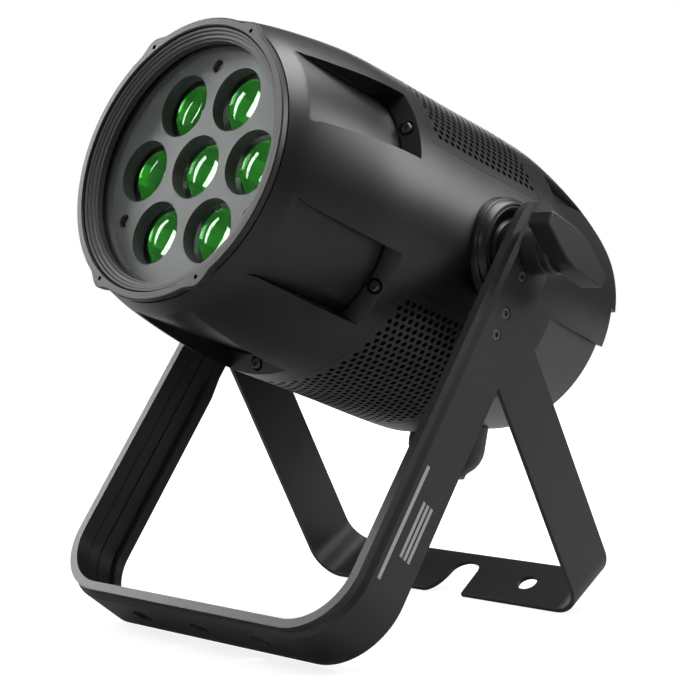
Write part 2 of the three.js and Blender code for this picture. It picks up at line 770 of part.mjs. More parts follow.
function fanImpeller() {
  const hub = barY(18, FAN_REAR + 2 + GAP, FAN_FRONT - 1, 0, 0, 24);
  const blades = Array.from({ length: FAN_BLADES }, (_, i) => {
    const blade = boxGeometry(14, FAN_BORE - 3, -9, 9, -1, 1).rotateX(radians(38));
    blade.translate(0, -(FAN_REAR + FAN_DEPTH / 2 + 1.5), 0);
    return solid(blade.rotateY(radians((360 / FAN_BLADES) * i)));
  });
  return joined(hub, ...blades);
}

function chassis() {
  const plate = ring(-14, -10, 22, HUB_ROOT - 2);
  const lugs = SIDES.map(([, side]) => {
    return block(...outward(side, 104, HUB_ROOT - GAP), -12, 24, -22, 22);
  });
  const posts = [-50, 50].flatMap((x) =>
    [-50, 50].map((z) => barY(4, -11, FAN_REAR - GAP, x, z, 12)),
  );
  return joined(plate, ...lugs, ...posts);
}

mesh("fan_frame", fanFrame(), blackPlastic, head);
mesh("fan_impeller", fanImpeller(), blackPlastic, head);
mesh("chassis", chassis(), aluminium, head);
mesh("power_supply", block(-70, 70, 34, 114, -45, 35), aluminium, head);
mesh("control_board", block(-55, 55, 166, 167.6, -12, 68), circuitBoard, head);

// ---- back panel ----
const buttonX = (i) => (i - (BUTTONS - 1) / 2) * BUTTON_STEP;

function rearPanel() {
  const plate = barY(PANEL_RADIUS, PANEL_OUT, PANEL_OUT + 4, 0, 0, 40);
  const collars = CAP_X.map((x, i) => barY(CAP_RADIUS - 2, PANEL_OUT - 4, PANEL_OUT + 1, x, CAP_Z[i]));
  const stems = Array.from({ length: BUTTONS }, (_, i) =>
    barY(BUTTON_STEM + GAP, PANEL_OUT - 1, PANEL_OUT + 5, buttonX(i), BUTTON_Z, 16),
  );
  return cut(joined(plate, ...collars), ...stems);
}

function button(x) {
  const under = PANEL_OUT - BUTTON_TRAVEL - 0.5;
  return joined(
    barY(BUTTON_RADIUS, under - 2, under, x, BUTTON_Z, 20),
    barY(BUTTON_STEM, under - 1, PANEL_OUT + 8, x, BUTTON_Z, 16),
  );
}

function socketCap(x, z) {
  const front = PANEL_OUT - 4 - GAP;
  const grip = [0, 60, 120].map((angle) =>
    solid(
      boxGeometry(-CAP_RADIUS, CAP_RADIUS, -front, CAP_LENGTH - front, -2, 2)
        .rotateY(radians(angle))
        .translate(x, 0, z),
    ),
  );
  return joined(barY(CAP_RADIUS - 1, front - CAP_LENGTH, front, x, z), ...grip);
}

function safetyEye() {
  const eye = barX(6.4, -2.5, 2.5, 7 - PANEL_OUT, EYE_Z, 20);
  const foot = block(-2.5, 2.5, GAP - PANEL_OUT, 7 - PANEL_OUT, EYE_Z - 6.4, EYE_Z + 6.4);
  const base = block(-8, 8, GAP - PANEL_OUT, 2 - PANEL_OUT, EYE_Z - 12, EYE_Z + 12);
  return cut(joined(eye, foot, base), barX(EYE_RADIUS, -4, 4, 7.4 - PANEL_OUT, EYE_Z, 20));
}

// Dome under the belly, its top cut to the rear shell.
function bellyDome() {
  const profile = [
    [0, -100],
    [34, -100],
    [35, -138],
    [33, -147],
    [28, -156],
    [23, -160],
    [21.5, -165],
    [0, -165],
  ];
  const points = profile.map(([radius, z]) => new THREE.Vector2(radius, z));
  const dome = solid(
    new THREE.LatheGeometry(points, 24).rotateX(Math.PI / 2).translate(0, -DOME_AHEAD, 0),
  );
  const rim = RECESS_RIM + GAP;
  return cut(
    dome,
    turned([
      [RIM_STEP, 0],
      [RIM_STEP, rim],
      [RECESS_FRONT, 137.4 + GAP],
      [RECESS_FRONT + 0.1, 145],
      [0, 145],
      [0, 0],
    ]),
  );
}

mesh("rear_panel", rearPanel(), powderCoat, head);
mesh(
  "display_window",
  block(-38, 38, GAP - PANEL_OUT, 1.5 - PANEL_OUT, DISPLAY_Z - 18, DISPLAY_Z + 18),
  clearGlass,
  head,
);
const buttonNames = ["menu_button", "down_button", "up_button", "enter_button"];
buttonNames.forEach((name, i) => mesh(name, button(buttonX(i)), blackRubber, head));
CAP_NAMES.forEach((name, i) => mesh(name, socketCap(CAP_X[i], CAP_Z[i]), blackRubber, head));
mesh("vent_valve", barY(8, PANEL_OUT - 3.5, PANEL_OUT - GAP, 0, -14), blackPlastic, head);
mesh("safety_eye", safetyEye(), steel, head);
mesh("belly_dome", bellyDome(), blackPlastic, head);

export default light;
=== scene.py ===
# %% [markdown]
# # A par can light, piece by piece
# The lamp is a barrel-shaped head that tilts between two pairs of arms. The mechanical model is
# already packed, so this lesson loads it as a fixed frame and gives every visible piece its final
# surface. Nothing that moves is moved here: each new piece is told which body it rides on.

# %% Load the frame
import json
import math

import bmesh
import bpy
from mathutils import Matrix, Vector


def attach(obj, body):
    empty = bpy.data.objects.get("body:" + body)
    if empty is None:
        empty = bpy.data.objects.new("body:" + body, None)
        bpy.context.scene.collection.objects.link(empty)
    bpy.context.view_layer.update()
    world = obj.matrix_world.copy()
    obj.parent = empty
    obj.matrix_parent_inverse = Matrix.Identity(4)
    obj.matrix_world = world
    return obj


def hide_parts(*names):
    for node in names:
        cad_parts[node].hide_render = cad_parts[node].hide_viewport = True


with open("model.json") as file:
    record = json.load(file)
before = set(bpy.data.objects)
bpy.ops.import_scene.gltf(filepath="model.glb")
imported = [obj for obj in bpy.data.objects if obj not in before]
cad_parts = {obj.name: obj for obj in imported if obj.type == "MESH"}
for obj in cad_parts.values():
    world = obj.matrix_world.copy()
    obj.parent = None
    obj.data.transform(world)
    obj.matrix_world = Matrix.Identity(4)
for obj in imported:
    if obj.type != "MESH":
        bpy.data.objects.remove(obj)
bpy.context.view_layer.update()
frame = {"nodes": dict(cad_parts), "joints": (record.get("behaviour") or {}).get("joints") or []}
print("frame holds", len(frame["nodes"]), "nodes")

# %% [markdown]
# Shaping is easier in millimetres and in each assembly's own directions than in the tilted world.
# The head gets a space whose Z runs ahead along the optical axis, with X to the right and Y up.
# Each yoke gets a space whose Z runs up its arms. One matrix then puts a finished mesh in place.

# %% Working spaces
MM = 0.001
HEAD_TILT = 17
FRONT_LEAN = 36.2
REAR_LEAN = 30
tilt_joint = next(j for j in frame["joints"] if j["name"] == "head_tilt")
PIVOT = Vector(tilt_joint["pos_m"])


def about_pivot(degrees):
    turn = Matrix.Rotation(math.radians(degrees), 4, "X")
    return Matrix.Translation(PIVOT) @ turn @ Matrix.Scale(MM, 4)


IN_HEAD = about_pivot(90 - HEAD_TILT)
IN_FRONT_YOKE = about_pivot(-FRONT_LEAN)
IN_REAR_YOKE = about_pivot(REAR_LEAN)
AT_PIVOT = about_pivot(0)


def box_in(space, node):
    """Lowest and highest corner of a CAD node in a working space, in millimetres."""
    back = space.inverted()
    points = [back @ v.co for v in frame["nodes"][node].data.vertices]
    lo = Vector([min(p[i] for p in points) for i in range(3)])
    hi = Vector([max(p[i] for p in points) for i in range(3)])
    return lo, hi


shell_lo, shell_hi = box_in(IN_HEAD, "front_shell")
print("front shell runs from", round(shell_lo.z, 1), "to", round(shell_hi.z, 1), "mm ahead")

# %% [markdown]
# Most shapes here are turned, cut and then given small rounded edges, so three helpers carry the
# lesson: one spins an outline into a solid, one cuts a solid with another, and one finishes a
# piece. Finishing puts the mesh in the row frame, adds a fine bevel that catches the light as a
# real moulded edge does, shades it smooth up to a chosen angle, and hands it to its body.

# %% Shaping helpers

def lathe(outline, steps=128, start=0.0, sweep=360.0):
    """A solid spun about Z from [height, radius] points. A part turn is closed at its ends."""
    bm = bmesh.new()
    points = [bm.verts.new((radius, 0, height)) for height, radius in outline]
    edges = [bm.edges.new(pair) for pair in zip(points, points[1:] + points[:1])]
    whole = sweep >= 360
    if not whole:
        bm.faces.new(points)
    geom = bm.verts[:] + bm.edges[:] + bm.faces[:]
    bmesh.ops.rotate(bm, verts=bm.verts, matrix=Matrix.Rotation(math.radians(start), 3, "Z"))
    bmesh.ops.spin(
        bm,
        geom=geom,
        cent=(0, 0, 0),
        axis=(0, 0, 1),
        angle=math.radians(sweep),
        steps=steps,
        use_merge=whole,
        use_normal_flip=False,
        use_duplicate=False,
    )
    bmesh.ops.remove_doubles(bm, verts=bm.verts, dist=1e-3)
    bmesh.ops.dissolve_degenerate(bm, edges=bm.edges, dist=1e-4)
    bmesh.ops.recalc_face_normals(bm, faces=bm.faces)
    return bm


def rod(radius, z0, z1, x=0.0, y=0.0, steps=32):
    """A round bar along Z."""
    bm = bmesh.new()
    bmesh.ops.create_cone(
        bm, cap_ends=True, segments=steps, radius1=radius, radius2=radius, depth=z1 - z0
    )
    bmesh.ops.translate(bm, verts=bm.verts, vec=(x, y, (z0 + z1) / 2))
    return bm


def block(x0, x1, y0, y1, z0, z1):
    """A box between limits."""
    bm = bmesh.new()
    bmesh.ops.create_cube(bm, size=1)
    bmesh.ops.scale(bm, verts=bm.verts, vec=(x1 - x0, y1 - y0, z1 - z0))
    bmesh.ops.translate(bm, verts=bm.verts, vec=((x0 + x1) / 2, (y0 + y1) / 2, (z0 + z1) / 2))
    return bm


def turned(bm, degrees, axis="Z"):
    matrix = Matrix.Rotation(math.radians(degrees), 3, axis)
    bmesh.ops.rotate(bm, verts=bm.verts, matrix=matrix)
    return bm


def moved(bm, x, y, z):
    bmesh.ops.translate(bm, verts=bm.verts, vec=(x, y, z))
    return bm


def gathered(*shapes):
    """Several meshes as one, each left as it is."""
    mesh = bpy.data.meshes.new("gathered")
    bm = bmesh.new()
    for shape in shapes:
        shape.to_mesh(mesh)
        bm.from_mesh(mesh)
        shape.free()
    bpy.data.meshes.remove(mesh)
    return bm


def as_object(name, bm):
    mesh = bpy.data.meshes.new(name)
    bm.to_mesh(mesh)
    bm.free()
    thing = bpy.data.objects.new(name, mesh)
    bpy.context.scene.collection.objects.link(thing)
    return thing


def shaped(bm, tool, operation="DIFFERENCE"):
    """The solid after a boolean with the tool, as a new bmesh."""
    base = as_object("base", bm)
    other = as_object("tool", tool)
    modifier = base.modifiers.new("boolean", "BOOLEAN")
    modifier.operation = operation
    modifier.solver = "EXACT"
    modifier.use_self = False
    modifier.object = other
    bpy.context.view_layer.update()
    graph = bpy.context.evaluated_depsgraph_get()
    result = bmesh.new()
    result.from_mesh(base.evaluated_get(graph).to_mesh())
    for thing in (base, other):
        mesh = thing.data
        bpy.data.objects.remove(thing)
        bpy.data.meshes.remove(mesh)
    bmesh.ops.remove_doubles(result, verts=result.verts, dist=0.02)
    bmesh.ops.dissolve_degenerate(result, edges=result.edges, dist=0.01)
    return result


def finished(name, bm, space, body, material, replaces=(), edge=0.4, smooth=32):
    """Puts a shape in the row frame, rounds its edges and lets it ride on its body."""
    piece = as_object(name, bm)
    piece.data.transform(space)
    piece.data.materials.append(material)
    piece.data.shade_smooth()
    piece.data.set_sharp_from_angle(angle=math.radians(smooth))
    if edge:
        bevel = piece.modifiers.new("edges", "BEVEL")
        bevel.width = edge * MM
        bevel.segments = 2
        bevel.limit_method = "ANGLE"
        bevel.angle_limit = math.radians(smooth)
        bevel.miter_outer = "MITER_ARC"
        bevel.use_clamp_overlap = True
        bevel.harden_normals = True
    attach(piece, body)
    if replaces:
        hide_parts(*replaces)
    return piece


def smooth_line(points, per_span=6):
    """A Catmull-Rom curve through the points, for a barrel with no corners."""
    ends = [
        [2 * a - b for a, b in zip(points[0], points[1])],
        [2 * a - b for a, b in zip(points[-1], points[-2])],
    ]
    chain = [ends[0], *points, ends[1]]
    line = []
    for p0, p1, p2, p3 in zip(chain, chain[1:], chain[2:], chain[3:]):
        for i in range(per_span):
            t = i / per_span
            line.append([
                0.5 * (2 * b + (c - a) * t + (2 * a - 5 * b + 4 * c - d) * t**2
                       + (3 * b - a - 3 * c + d) * t**3)
                for a, b, c, d in zip(p0, p1, p2, p3)
            ])
    return [*line, list(points[-1])]


print("helpers ready")

# %% [markdown]
# Powder coat is a baked skin of melted powder. It is satin, very finely pebbled and a little
# uneven in gloss. The pebble is a small noise that feeds a bump, and the unevenness a large noise
# that feeds roughness and colour. Moulded plastic and rubber need the same two effects at other
# sizes, so they share one node group, and each material places it with its own values.

# %% Surface group
def new_group(name, inputs, outputs):
    group = bpy.data.node_groups.new(name, "ShaderNodeTree")
    for label, kind, value in inputs:
        socket = group.interface.new_socket(label, in_out="INPUT", socket_type=kind)
        socket.default_value = value
    for label, kind in outputs:
        group.interface.new_socket(label, in_out="OUTPUT", socket_type=kind)
    return group, group.nodes.new("NodeGroupInput"), group.nodes.new("NodeGroupOutput")


def grain_group():
    group, given, result = new_group(
        "fine_grain",
        [
            ("Color", "NodeSocketColor", (0.02, 0.02, 0.02, 1)),
            ("Roughness", "NodeSocketFloat", 0.45),
            ("Grain Scale", "NodeSocketFloat", 900.0),
            ("Grain Depth", "NodeSocketFloat", 0.2),
            ("Unevenness", "NodeSocketFloat", 0.06),
            ("Dust", "NodeSocketFloat", 0.03),
        ],
        [
            ("Color", "NodeSocketColor"),
            ("Roughness", "NodeSocketFloat"),
            ("Normal", "NodeSocketVector"),
        ],
    )
    nodes, links = group.nodes, group.links
    place = nodes.new("ShaderNodeTexCoord")
    grain = nodes.new("ShaderNodeTexNoise")
    grain.inputs["Detail"].default_value = 2.0
    links.new(place.outputs["Object"], grain.inputs["Vector"])
    links.new(given.outputs["Grain Scale"], grain.inputs["Scale"])
    bump = nodes.new("ShaderNodeBump")
    bump.inputs["Distance"].default_value = 0.0002
    links.new(grain.outputs["Fac"], bump.inputs["Height"])
    links.new(given.outputs["Grain Depth"], bump.inputs["Strength"])
    links.new(bump.outputs["Normal"], result.inputs["Normal"])

    cloud = nodes.new("ShaderNodeTexNoise")
    cloud.inputs["Scale"].default_value = 14.0
    cloud.inputs["Detail"].default_value = 5.0
    links.new(place.outputs["Object"], cloud.inputs["Vector"])
    centred = nodes.new("ShaderNodeMath")
    centred.operation = "SUBTRACT"
    centred.inputs[1].default_value = 0.5
    links.new(cloud.outputs["Fac"], centred.inputs[0])
    swing = nodes.new("ShaderNodeMath")
    swing.operation = "MULTIPLY_ADD"
    links.new(centred.outputs[0], swing.inputs[0])
    links.new(given.outputs["Unevenness"], swing.inputs[1])
    links.new(given.outputs["Roughness"], swing.inputs[2])
    links.new(swing.outputs[0], result.inputs["Roughness"])

    settle = nodes.new("ShaderNodeMath")
    settle.operation = "MULTIPLY"
    links.new(cloud.outputs["Fac"], settle.inputs[0])
    links.new(given.outputs["Dust"], settle.inputs[1])
    tint = nodes.new("ShaderNodeMix")
    tint.data_type = "RGBA"
    tint.inputs["B"].default_value = (0.3, 0.3, 0.29, 1)
    links.new(settle.outputs[0], tint.inputs["Factor"])
    links.new(given.outputs["Color"], tint.inputs["A"])
    links.new(tint.outputs["Result"], result.inputs["Color"])
    return group


FINE_GRAIN = grain_group()


def new_material(name):
    material = bpy.data.materials.new(name)
    material.use_nodes = True
    return material, material.node_tree.nodes, material.node_tree.links


def grained(name, color, roughness, scale, depth, uneven=0.06, dust=0.03, metallic=0.0,
            specular=0.5):
    """A material of the shared grain, with its own colour, gloss, grain size and bump."""
    material, nodes, links = new_material(name)
    shader = nodes["Principled BSDF"]
    shader.inputs["Metallic"].default_value = metallic
    shader.inputs["Specular IOR Level"].default_value = specular
    group = nodes.new("ShaderNodeGroup")
    group.node_tree = FINE_GRAIN
    group.inputs["Color"].default_value = (*color, 1)
    group.inputs["Roughness"].default_value = roughness
    group.inputs["Grain Scale"].default_value = scale
    group.inputs["Grain Depth"].default_value = depth
    group.inputs["Unevenness"].default_value = uneven
    group.inputs["Dust"].default_value = dust
    links.new(group.outputs["Color"], shader.inputs["Base Color"])
    links.new(group.outputs["Roughness"], shader.inputs["Roughness"])
    links.new(group.outputs["Normal"], shader.inputs["Normal"])
    return material


SHELL_COAT = grained("shell_powder_coat", (0.0062, 0.0063, 0.0066), 0.36, 1100, 0.2, dust=0.008)
YOKE_COAT = grained("yoke_powder_coat", (0.0165, 0.0166, 0.017), 0.42, 900, 0.35, dust=0.012)
RING_COAT = grained("ring_powder_coat", (0.008, 0.0081, 0.0085), 0.42, 1100, 0.2, dust=0.01)
MASK_PLASTIC = grained("mask_plastic", (0.065, 0.065, 0.066), 0.55, 1300, 0.2, dust=0.01)
KNOB_PLASTIC = grained("knob_plastic", (0.008, 0.008, 0.0085), 0.42, 700, 0.35, dust=0.01)
PLASTIC = grained("moulded_plastic", (0.01, 0.01, 0.0105), 0.48, 700, 0.3, dust=0.012)
RUBBER = grained("black_rubber", (0.009, 0.009, 0.009), 0.75, 500, 0.4, dust=0.05)
BLACK_STEEL = grained("black_oxide_steel", (0.16, 0.16, 0.165), 0.34, 1500, 0.15, metallic=0.85)
STEEL = grained("turned_steel", (0.55, 0.55, 0.56), 0.28, 1500, 0.15, metallic=1.0)
ALUMINIUM = grained("bare_aluminium", (0.66, 0.67, 0.69), 0.4, 900, 0.2, metallic=1.0)
BOARD = grained("circuit_board", (0.012, 0.07, 0.035), 0.5, 600, 0.25)
print("materials so far:", len(bpy.data.materials))

# %% [markdown]
# ## The front shell
# The barrel is a casting, so it has one long smooth outline with six tapered recesses cut in. The
# outline is a curve through a few stations, spun about the optical axis. Each recess is a box with a
# raked rear wall whose lower side follows the inner barrel, and under it runs a slightly wider floor
# pocket. That leaves the crisp inner lip with a dark gap that a cover over a barrel has.

# %% Barrel outline
JOIN = shell_lo.z
FLANGE_SEAT = shell_hi.z
GAP = 0.3
FRONT_PROFILE = [
    (JOIN, 138.8), (-20, 138.3), (20, 137.3), (60, 136.9), (100, 136.4),
    (140, 134.6), (180, 128.7), (215, 121.4), (FLANGE_SEAT, 114.2),
]
barrel = smooth_line(FRONT_PROFILE)


def radius_at(ahead, line):
    for (s0, r0), (s1, r1) in zip(line, line[1:]):
        if s0 <= ahead <= s1:
            return r0 + (r1 - r0) * (ahead - s0) / (s1 - s0)
    return line[0][1] if ahead < line[0][0] else line[-1][1]


# %% Recess cutters
SCOOPS = 6
SCOOP_FIRST = 30
SCOOP_HALF = 32.3
SCOOP_REAR = 111
SCOOP_RAKE = 6
SCOOP_FLOOR = 120
SCOOP_LIP = 121.5
SCREW_CIRCLE = 127.5
BEYOND = 160


def scoop_cutter():
    """One recess, centred on +X: the raked opening, the floor pocket and the screw's notch."""
    opening = block(105, BEYOND, -SCOOP_HALF, SCOOP_HALF, SCOOP_REAR, FLANGE_SEAT + 8)
    for vert in opening.verts:
        if vert.co.z < SCOOP_REAR + 1:
            depth = (BEYOND - vert.co.x) / (BEYOND - 105)
            vert.co.z += SCOOP_RAKE * (depth * 55 - (BEYOND - 136.4)) / 15
    opening = shaped(opening, rod(SCOOP_LIP, 60, 280, steps=192))
    reach = math.degrees(math.asin((SCOOP_HALF + 0.8) / SCOOP_FLOOR))
    rear = SCOOP_REAR + SCOOP_RAKE - 1.2
    pocket = lathe(
        [(rear, SCOOP_FLOOR), (rear, SCOOP_LIP + 0.1), (250, SCOOP_LIP + 0.1), (250, SCOOP_FLOOR)],
        steps=16, start=-reach, sweep=2 * reach,
    )
    notch = rod(6.3, SCOOP_REAR, SCOOP_REAR + 14, x=SCREW_CIRCLE)
    return shaped(shaped(opening, pocket, "UNION"), notch, "UNION")


def around(shape, count, first):
    """Copies of a shape spread round the Z axis."""
    mesh = bpy.data.meshes.new("copy")
    shape.to_mesh(mesh)
    shape.free()
    bm = bmesh.new()
    for i in range(count):
        before = len(bm.verts)
        bm.from_mesh(mesh)
        bm.verts.ensure_lookup_table()
        angle = math.radians(first + 360 / count * i)
        bmesh.ops.rotate(bm, verts=bm.verts[before:], matrix=Matrix.Rotation(angle, 3, "Z"))
    bpy.data.meshes.remove(mesh)
    return bm


# %% [markdown]
# The vent openings and the seats of the tilt hubs are cut from the same solid. An opening has a
# shallow seat as large as its panel, and a smaller hole right through it.

# %% Front shell
PANEL_EDGE = 25
PANEL_FRONT = 96
PANEL_THICKNESS = 1.8
PANEL_SEAT = 8
HUB_RADIUS = 44


def vent_opening(first):
    """The seat and the through hole of one panel, from the angle first."""
    line = [p for p in smooth_line(FRONT_PROFILE) if p[0] < PANEL_FRONT]
    line += [[PANEL_FRONT, radius_at(PANEL_FRONT, barrel)]]
    seat = [(s, r - PANEL_THICKNESS) for s, r in line]
    seat[0] = (JOIN - 1, seat[0][1])
    sweep = 180 - 2 * PANEL_EDGE
    shallow = lathe([*seat, (PANEL_FRONT, BEYOND), (JOIN - 1, BEYOND)], 96, first, sweep)
    inset = math.degrees(PANEL_SEAT / 137)
    rear, front = JOIN + PANEL_SEAT, PANEL_FRONT - PANEL_SEAT
    hole = lathe(
        [(rear, 110), (rear, BEYOND), (front, BEYOND), (front, 110)],
        90, first + inset, sweep - 2 * inset,
    )
    return shaped(shallow, hole, "UNION")


SHELF_BORE = 100
SHELF_FRONT = 222
GLASS_BORE = 106.3


def front_shell():
    """The barrel with its glass shelf inside, then the recesses, vents and hub seats cut out."""
    inside = [
        (FLANGE_SEAT, GLASS_BORE), (SHELF_FRONT, GLASS_BORE), (SHELF_FRONT, SHELF_BORE),
        (SHELF_FRONT - 8, SHELF_BORE), (SHELF_FRONT - 9, 113),
        (206, 116.5), (106, 116.5), (100, 133.4), (60, 133.9), (20, 134.3), (JOIN, 135.8),
    ]
    body = lathe([*barrel, *inside], steps=216)
    body = shaped(body, around(scoop_cutter(), SCOOPS, SCOOP_FIRST))
    vents = gathered(vent_opening(PANEL_EDGE), vent_opening(180 + PANEL_EDGE))
    body = shaped(body, vents)
    hubs = [turned(rod(HUB_RADIUS + GAP, 120, 150, steps=96), 90 * side, "Y") for side in (1, -1)]
    return shaped(body, gathered(*hubs))


finished("front_shell_skin", front_shell(), IN_HEAD, "head", SHELL_COAT,
         replaces=["front_shell"], edge=0.65)
print("front shell done")

# %% [markdown]
# ## The vent panels
# A perforated panel is punched flat and rolled afterwards, and it is made the same way here. One
# cell is a rectangle bridged to a round hole. Every second row is shifted by half a pitch, so the
# holes stagger. Plain cells fill the margins, the sheet is trimmed to its outline, rolled round the
# optical axis and thickened inwards.

# %% One cell of the punched sheet
PITCH = 7.6
ROW = PITCH * math.sqrt(3) / 2
HOLE_RADIUS = 2.35
ROLL_RADIUS = 137.5


def vent_cell(pierced):
    """One rectangle of sheet, its edges divided alike so that neighbours join."""
    bm = bmesh.new()
    bmesh.ops.create_grid(bm, x_segments=1, y_segments=1, size=0.5)
    bmesh.ops.scale(bm, verts=bm.verts, vec=(ROW, PITCH, 1))
    bmesh.ops.delete(bm, geom=bm.faces, context="FACES_ONLY")
    along = [e for e in bm.edges if abs(e.verts[0].co.x - e.verts[1].co.x) < 1]
    across = [e for e in bm.edges if e not in along]
    bmesh.ops.subdivide_edges(bm, edges=along, cuts=3)
    bmesh.ops.subdivide_edges(bm, edges=across, cuts=1)
    if pierced:
        bmesh.ops.create_circle(bm, segments=12, radius=HOLE_RADIUS)
        bmesh.ops.bridge_loops(bm, edges=bm.edges)
    else:
        bmesh.ops.contextual_create(bm, geom=bm.edges)
    bmesh.ops.recalc_face_normals(bm, faces=bm.faces)
    if sum(face.normal.z for face in bm.faces) < 0:
        bmesh.ops.reverse_faces(bm, faces=bm.faces)
    mesh = bpy.data.meshes.new("cell")
    bm.to_mesh(mesh)
    bm.free()
    return mesh


# %% Vent panels
VENT_MARGIN = 10.0
VENT_REAR = -38.5
VENT_FRONT = 89.0
VENT_WALL = 1.4


def vent_panel(first):
    """A panel over the angles from first, made flat with X round the barrel and Y ahead."""
    half_width = math.radians(90 - PANEL_EDGE - 0.12) * ROLL_RADIUS
    rear, front = JOIN + GAP, PANEL_FRONT - GAP
    rows = math.ceil(2 * half_width / ROW) // 2 + 1
    columns = math.ceil((front - rear) / PITCH) + 2
    plain, pierced = vent_cell(False), vent_cell(True)
    sheet = bmesh.new()
    for row in range(-rows, rows + 1):
        for column in range(columns):
            u = row * ROW
            s = rear + PITCH * (column + 0.5 * (row % 2)) - 1
            inside = abs(u) < half_width - VENT_MARGIN and VENT_REAR < s < VENT_FRONT
            before = len(sheet.verts)
            sheet.from_mesh(pierced if inside else plain)
            sheet.verts.ensure_lookup_table()
            bmesh.ops.translate(sheet, verts=sheet.verts[before:], vec=(u, s, 0))
    bmesh.ops.remove_doubles(sheet, verts=sheet.verts, dist=0.05)
    for where, direction in (
        ((-half_width, 0, 0), (-1, 0, 0)),
        ((half_width, 0, 0), (1, 0, 0)),
        ((0, rear, 0), (0, -1, 0)),
        ((0, front, 0), (0, 1, 0)),
    ):
        whole = sheet.verts[:] + sheet.edges[:] + sheet.faces[:]
        bmesh.ops.bisect_plane(sheet, geom=whole, plane_co=where, plane_no=direction, clear_outer=True)
    for vert in sheet.verts:
        u, s = vert.co.x, vert.co.y
        angle = math.radians(first + 90 - PANEL_EDGE) + u / ROLL_RADIUS
        radius = radius_at(s, barrel)
        vert.co = (radius * math.cos(angle), radius * math.sin(angle), s)
    bmesh.ops.recalc_face_normals(sheet, faces=sheet.faces)
    lean = sum(f.normal.x * f.calc_center_median().x + f.normal.y * f.calc_center_median().y
               for f in sheet.faces)
    if lean < 0:
        bmesh.ops.reverse_faces(sheet, faces=sheet.faces)
    for cell in (plain, pierced):
        bpy.data.meshes.remove(cell)
    bmesh.ops.solidify(sheet, geom=sheet.faces[:], thickness=VENT_WALL)
    return sheet


for name, first in (("vent_panel_upper", PANEL_EDGE), ("vent_panel_lower", 180 + PANEL_EDGE)):
    panel = finished(name + "_punched", vent_panel(first), IN_HEAD, "head", SHELL_COAT,
                     replaces=[name], edge=0)
    back = IN_HEAD.inverted()
    reach = [math.hypot(*(back @ v.co).xy) for v in panel.data.vertices]
    print(panel.name, "radius", round(min(reach), 1), "to", round(max(reach), 1), "mm")

# %% [markdown]
# A near-black dull sheet hangs behind each panel. It is painted shade: it makes the holes look black
# in place of the shade inside the head, as little of the light that enters comes back.

# %% Painted shade sheets
# Painted shade: the sheet's near-black colour stands in for the shade inside the head behind the
# holes.
PAINTED_SHADE_SHEET = grained("shade_sheet", (0.002, 0.002, 0.002), 0.8, 900, 0.5, dust=0, specular=0.1)
SCREEN_RADIUS = 131.2
for name, first in (("dust_screen_upper", 31), ("dust_screen_lower", 211)):
    screen = lathe([(-36, SCREEN_RADIUS - 0.6), (-36, SCREEN_RADIUS), (87, SCREEN_RADIUS),
                    (87, SCREEN_RADIUS - 0.6)], steps=48, start=first, sweep=118)
    finished(name, screen, IN_HEAD, "head", PAINTED_SHADE_SHEET, edge=0)
print("dust screens hung")

# %% [markdown]
# ## The rear shell
# The rear cover tapers to an open rim. Its lower half has a flat-sided recess that ends in a
# smaller rim, set further in, and a shallow three-cornered recess lies behind each corner of the
# upper vent. A recess on a cone is itself part of a cone, so its cutter is a part turn.

# %% Rear shell
REAR_PROFILE = [
    (-200, 112.5), (-187, 117), (-160, 124.6), (-130, 131), (-100, 136), (-75, 138.6),
    (JOIN - GAP, 138.8),
]
RIM_STEP = -187
NOTCH_ANGLE = 4
RECESS_ANGLE = 14
RECESS_FRONT = -78
RECESS_RIM = 110
rear_line = smooth_line(REAR_PROFILE)


def on_barrel(degrees, ahead, radius):
    angle = math.radians(degrees)
    return radius * math.cos(angle), radius * math.sin(angle), ahead


def corner_recess(side):
    """A wedge over three corners of the rear shell; side is 1 on the right and -1 on the left."""
    corners = [(43, -75, 6.5), (29, -73, 5.5), (47.5, -176, 1.5)]
    bm = bmesh.new()
    for degrees, ahead, depth in corners:
        turn = degrees if side > 0 else 180 - degrees
        floor = radius_at(ahead, rear_line) - depth
        bm.verts.new(on_barrel(turn, ahead, floor))
        bm.verts.new(on_barrel(turn, ahead, BEYOND))
    bmesh.ops.convex_hull(bm, input=bm.verts)
    bmesh.ops.recalc_face_normals(bm, faces=bm.faces)
    return bm


def rear_shell():
    """The tapering cover, with its lower recess, its stepped rim and its corner recesses."""
    rim = REAR_PROFILE[0][0]
    inside = [(JOIN - GAP, 134.8), (-75, 131), (-110, 124), (RIM_STEP, 107), (rim, 107)]
    body = lathe([*rear_line, *inside], steps=216)
    recess = lathe(
        [(rim - 2, RECESS_RIM), (RIM_STEP, RECESS_RIM), (RECESS_FRONT, 137.2),
         (RECESS_FRONT + 1.5, BEYOND), (rim - 2, BEYOND)],
        steps=130, start=180 + RECESS_ANGLE, sweep=180 - 2 * RECESS_ANGLE,
    )
    step = lathe(
        [(rim - 2, 60), (rim - 2, BEYOND), (RIM_STEP, BEYOND), (RIM_STEP, 60)],
        steps=150, start=180 - NOTCH_ANGLE, sweep=180 + 2 * NOTCH_ANGLE,
    )
    body = shaped(body, recess)
    body = shaped(body, step)
    return shaped(body, gathered(corner_recess(1), corner_recess(-1)))


finished("rear_shell_skin", rear_shell(), IN_HEAD, "head", SHELL_COAT,
         replaces=["rear_shell"], edge=0.5)
print("rear shell done")

# %% [markdown]
# ## The front: ring, clamp, glass and mask
# The ring is turned, and its rim swells into four ears for the screws. The clamp ring inside it is
# a plain turned section with steps. Behind the glass lies the mask, a plate with seven ports. Each
# port runs back as a short tube, so that no light leaks past the lenses.

# %% Ring and clamp
ring_lo, ring_hi = box_in(IN_HEAD, "front_ring")
RING_REAR, RING_FRONT = ring_lo.z, ring_hi.z
RING_RADIUS = 113.4
RING_BORE = 106.6
EARS = [(x, y) for x in (-55.9, 55.9) for y in (-95.9, 95.9)]
EAR_SWELL = 4.6
EAR_SPREAD = 8.5


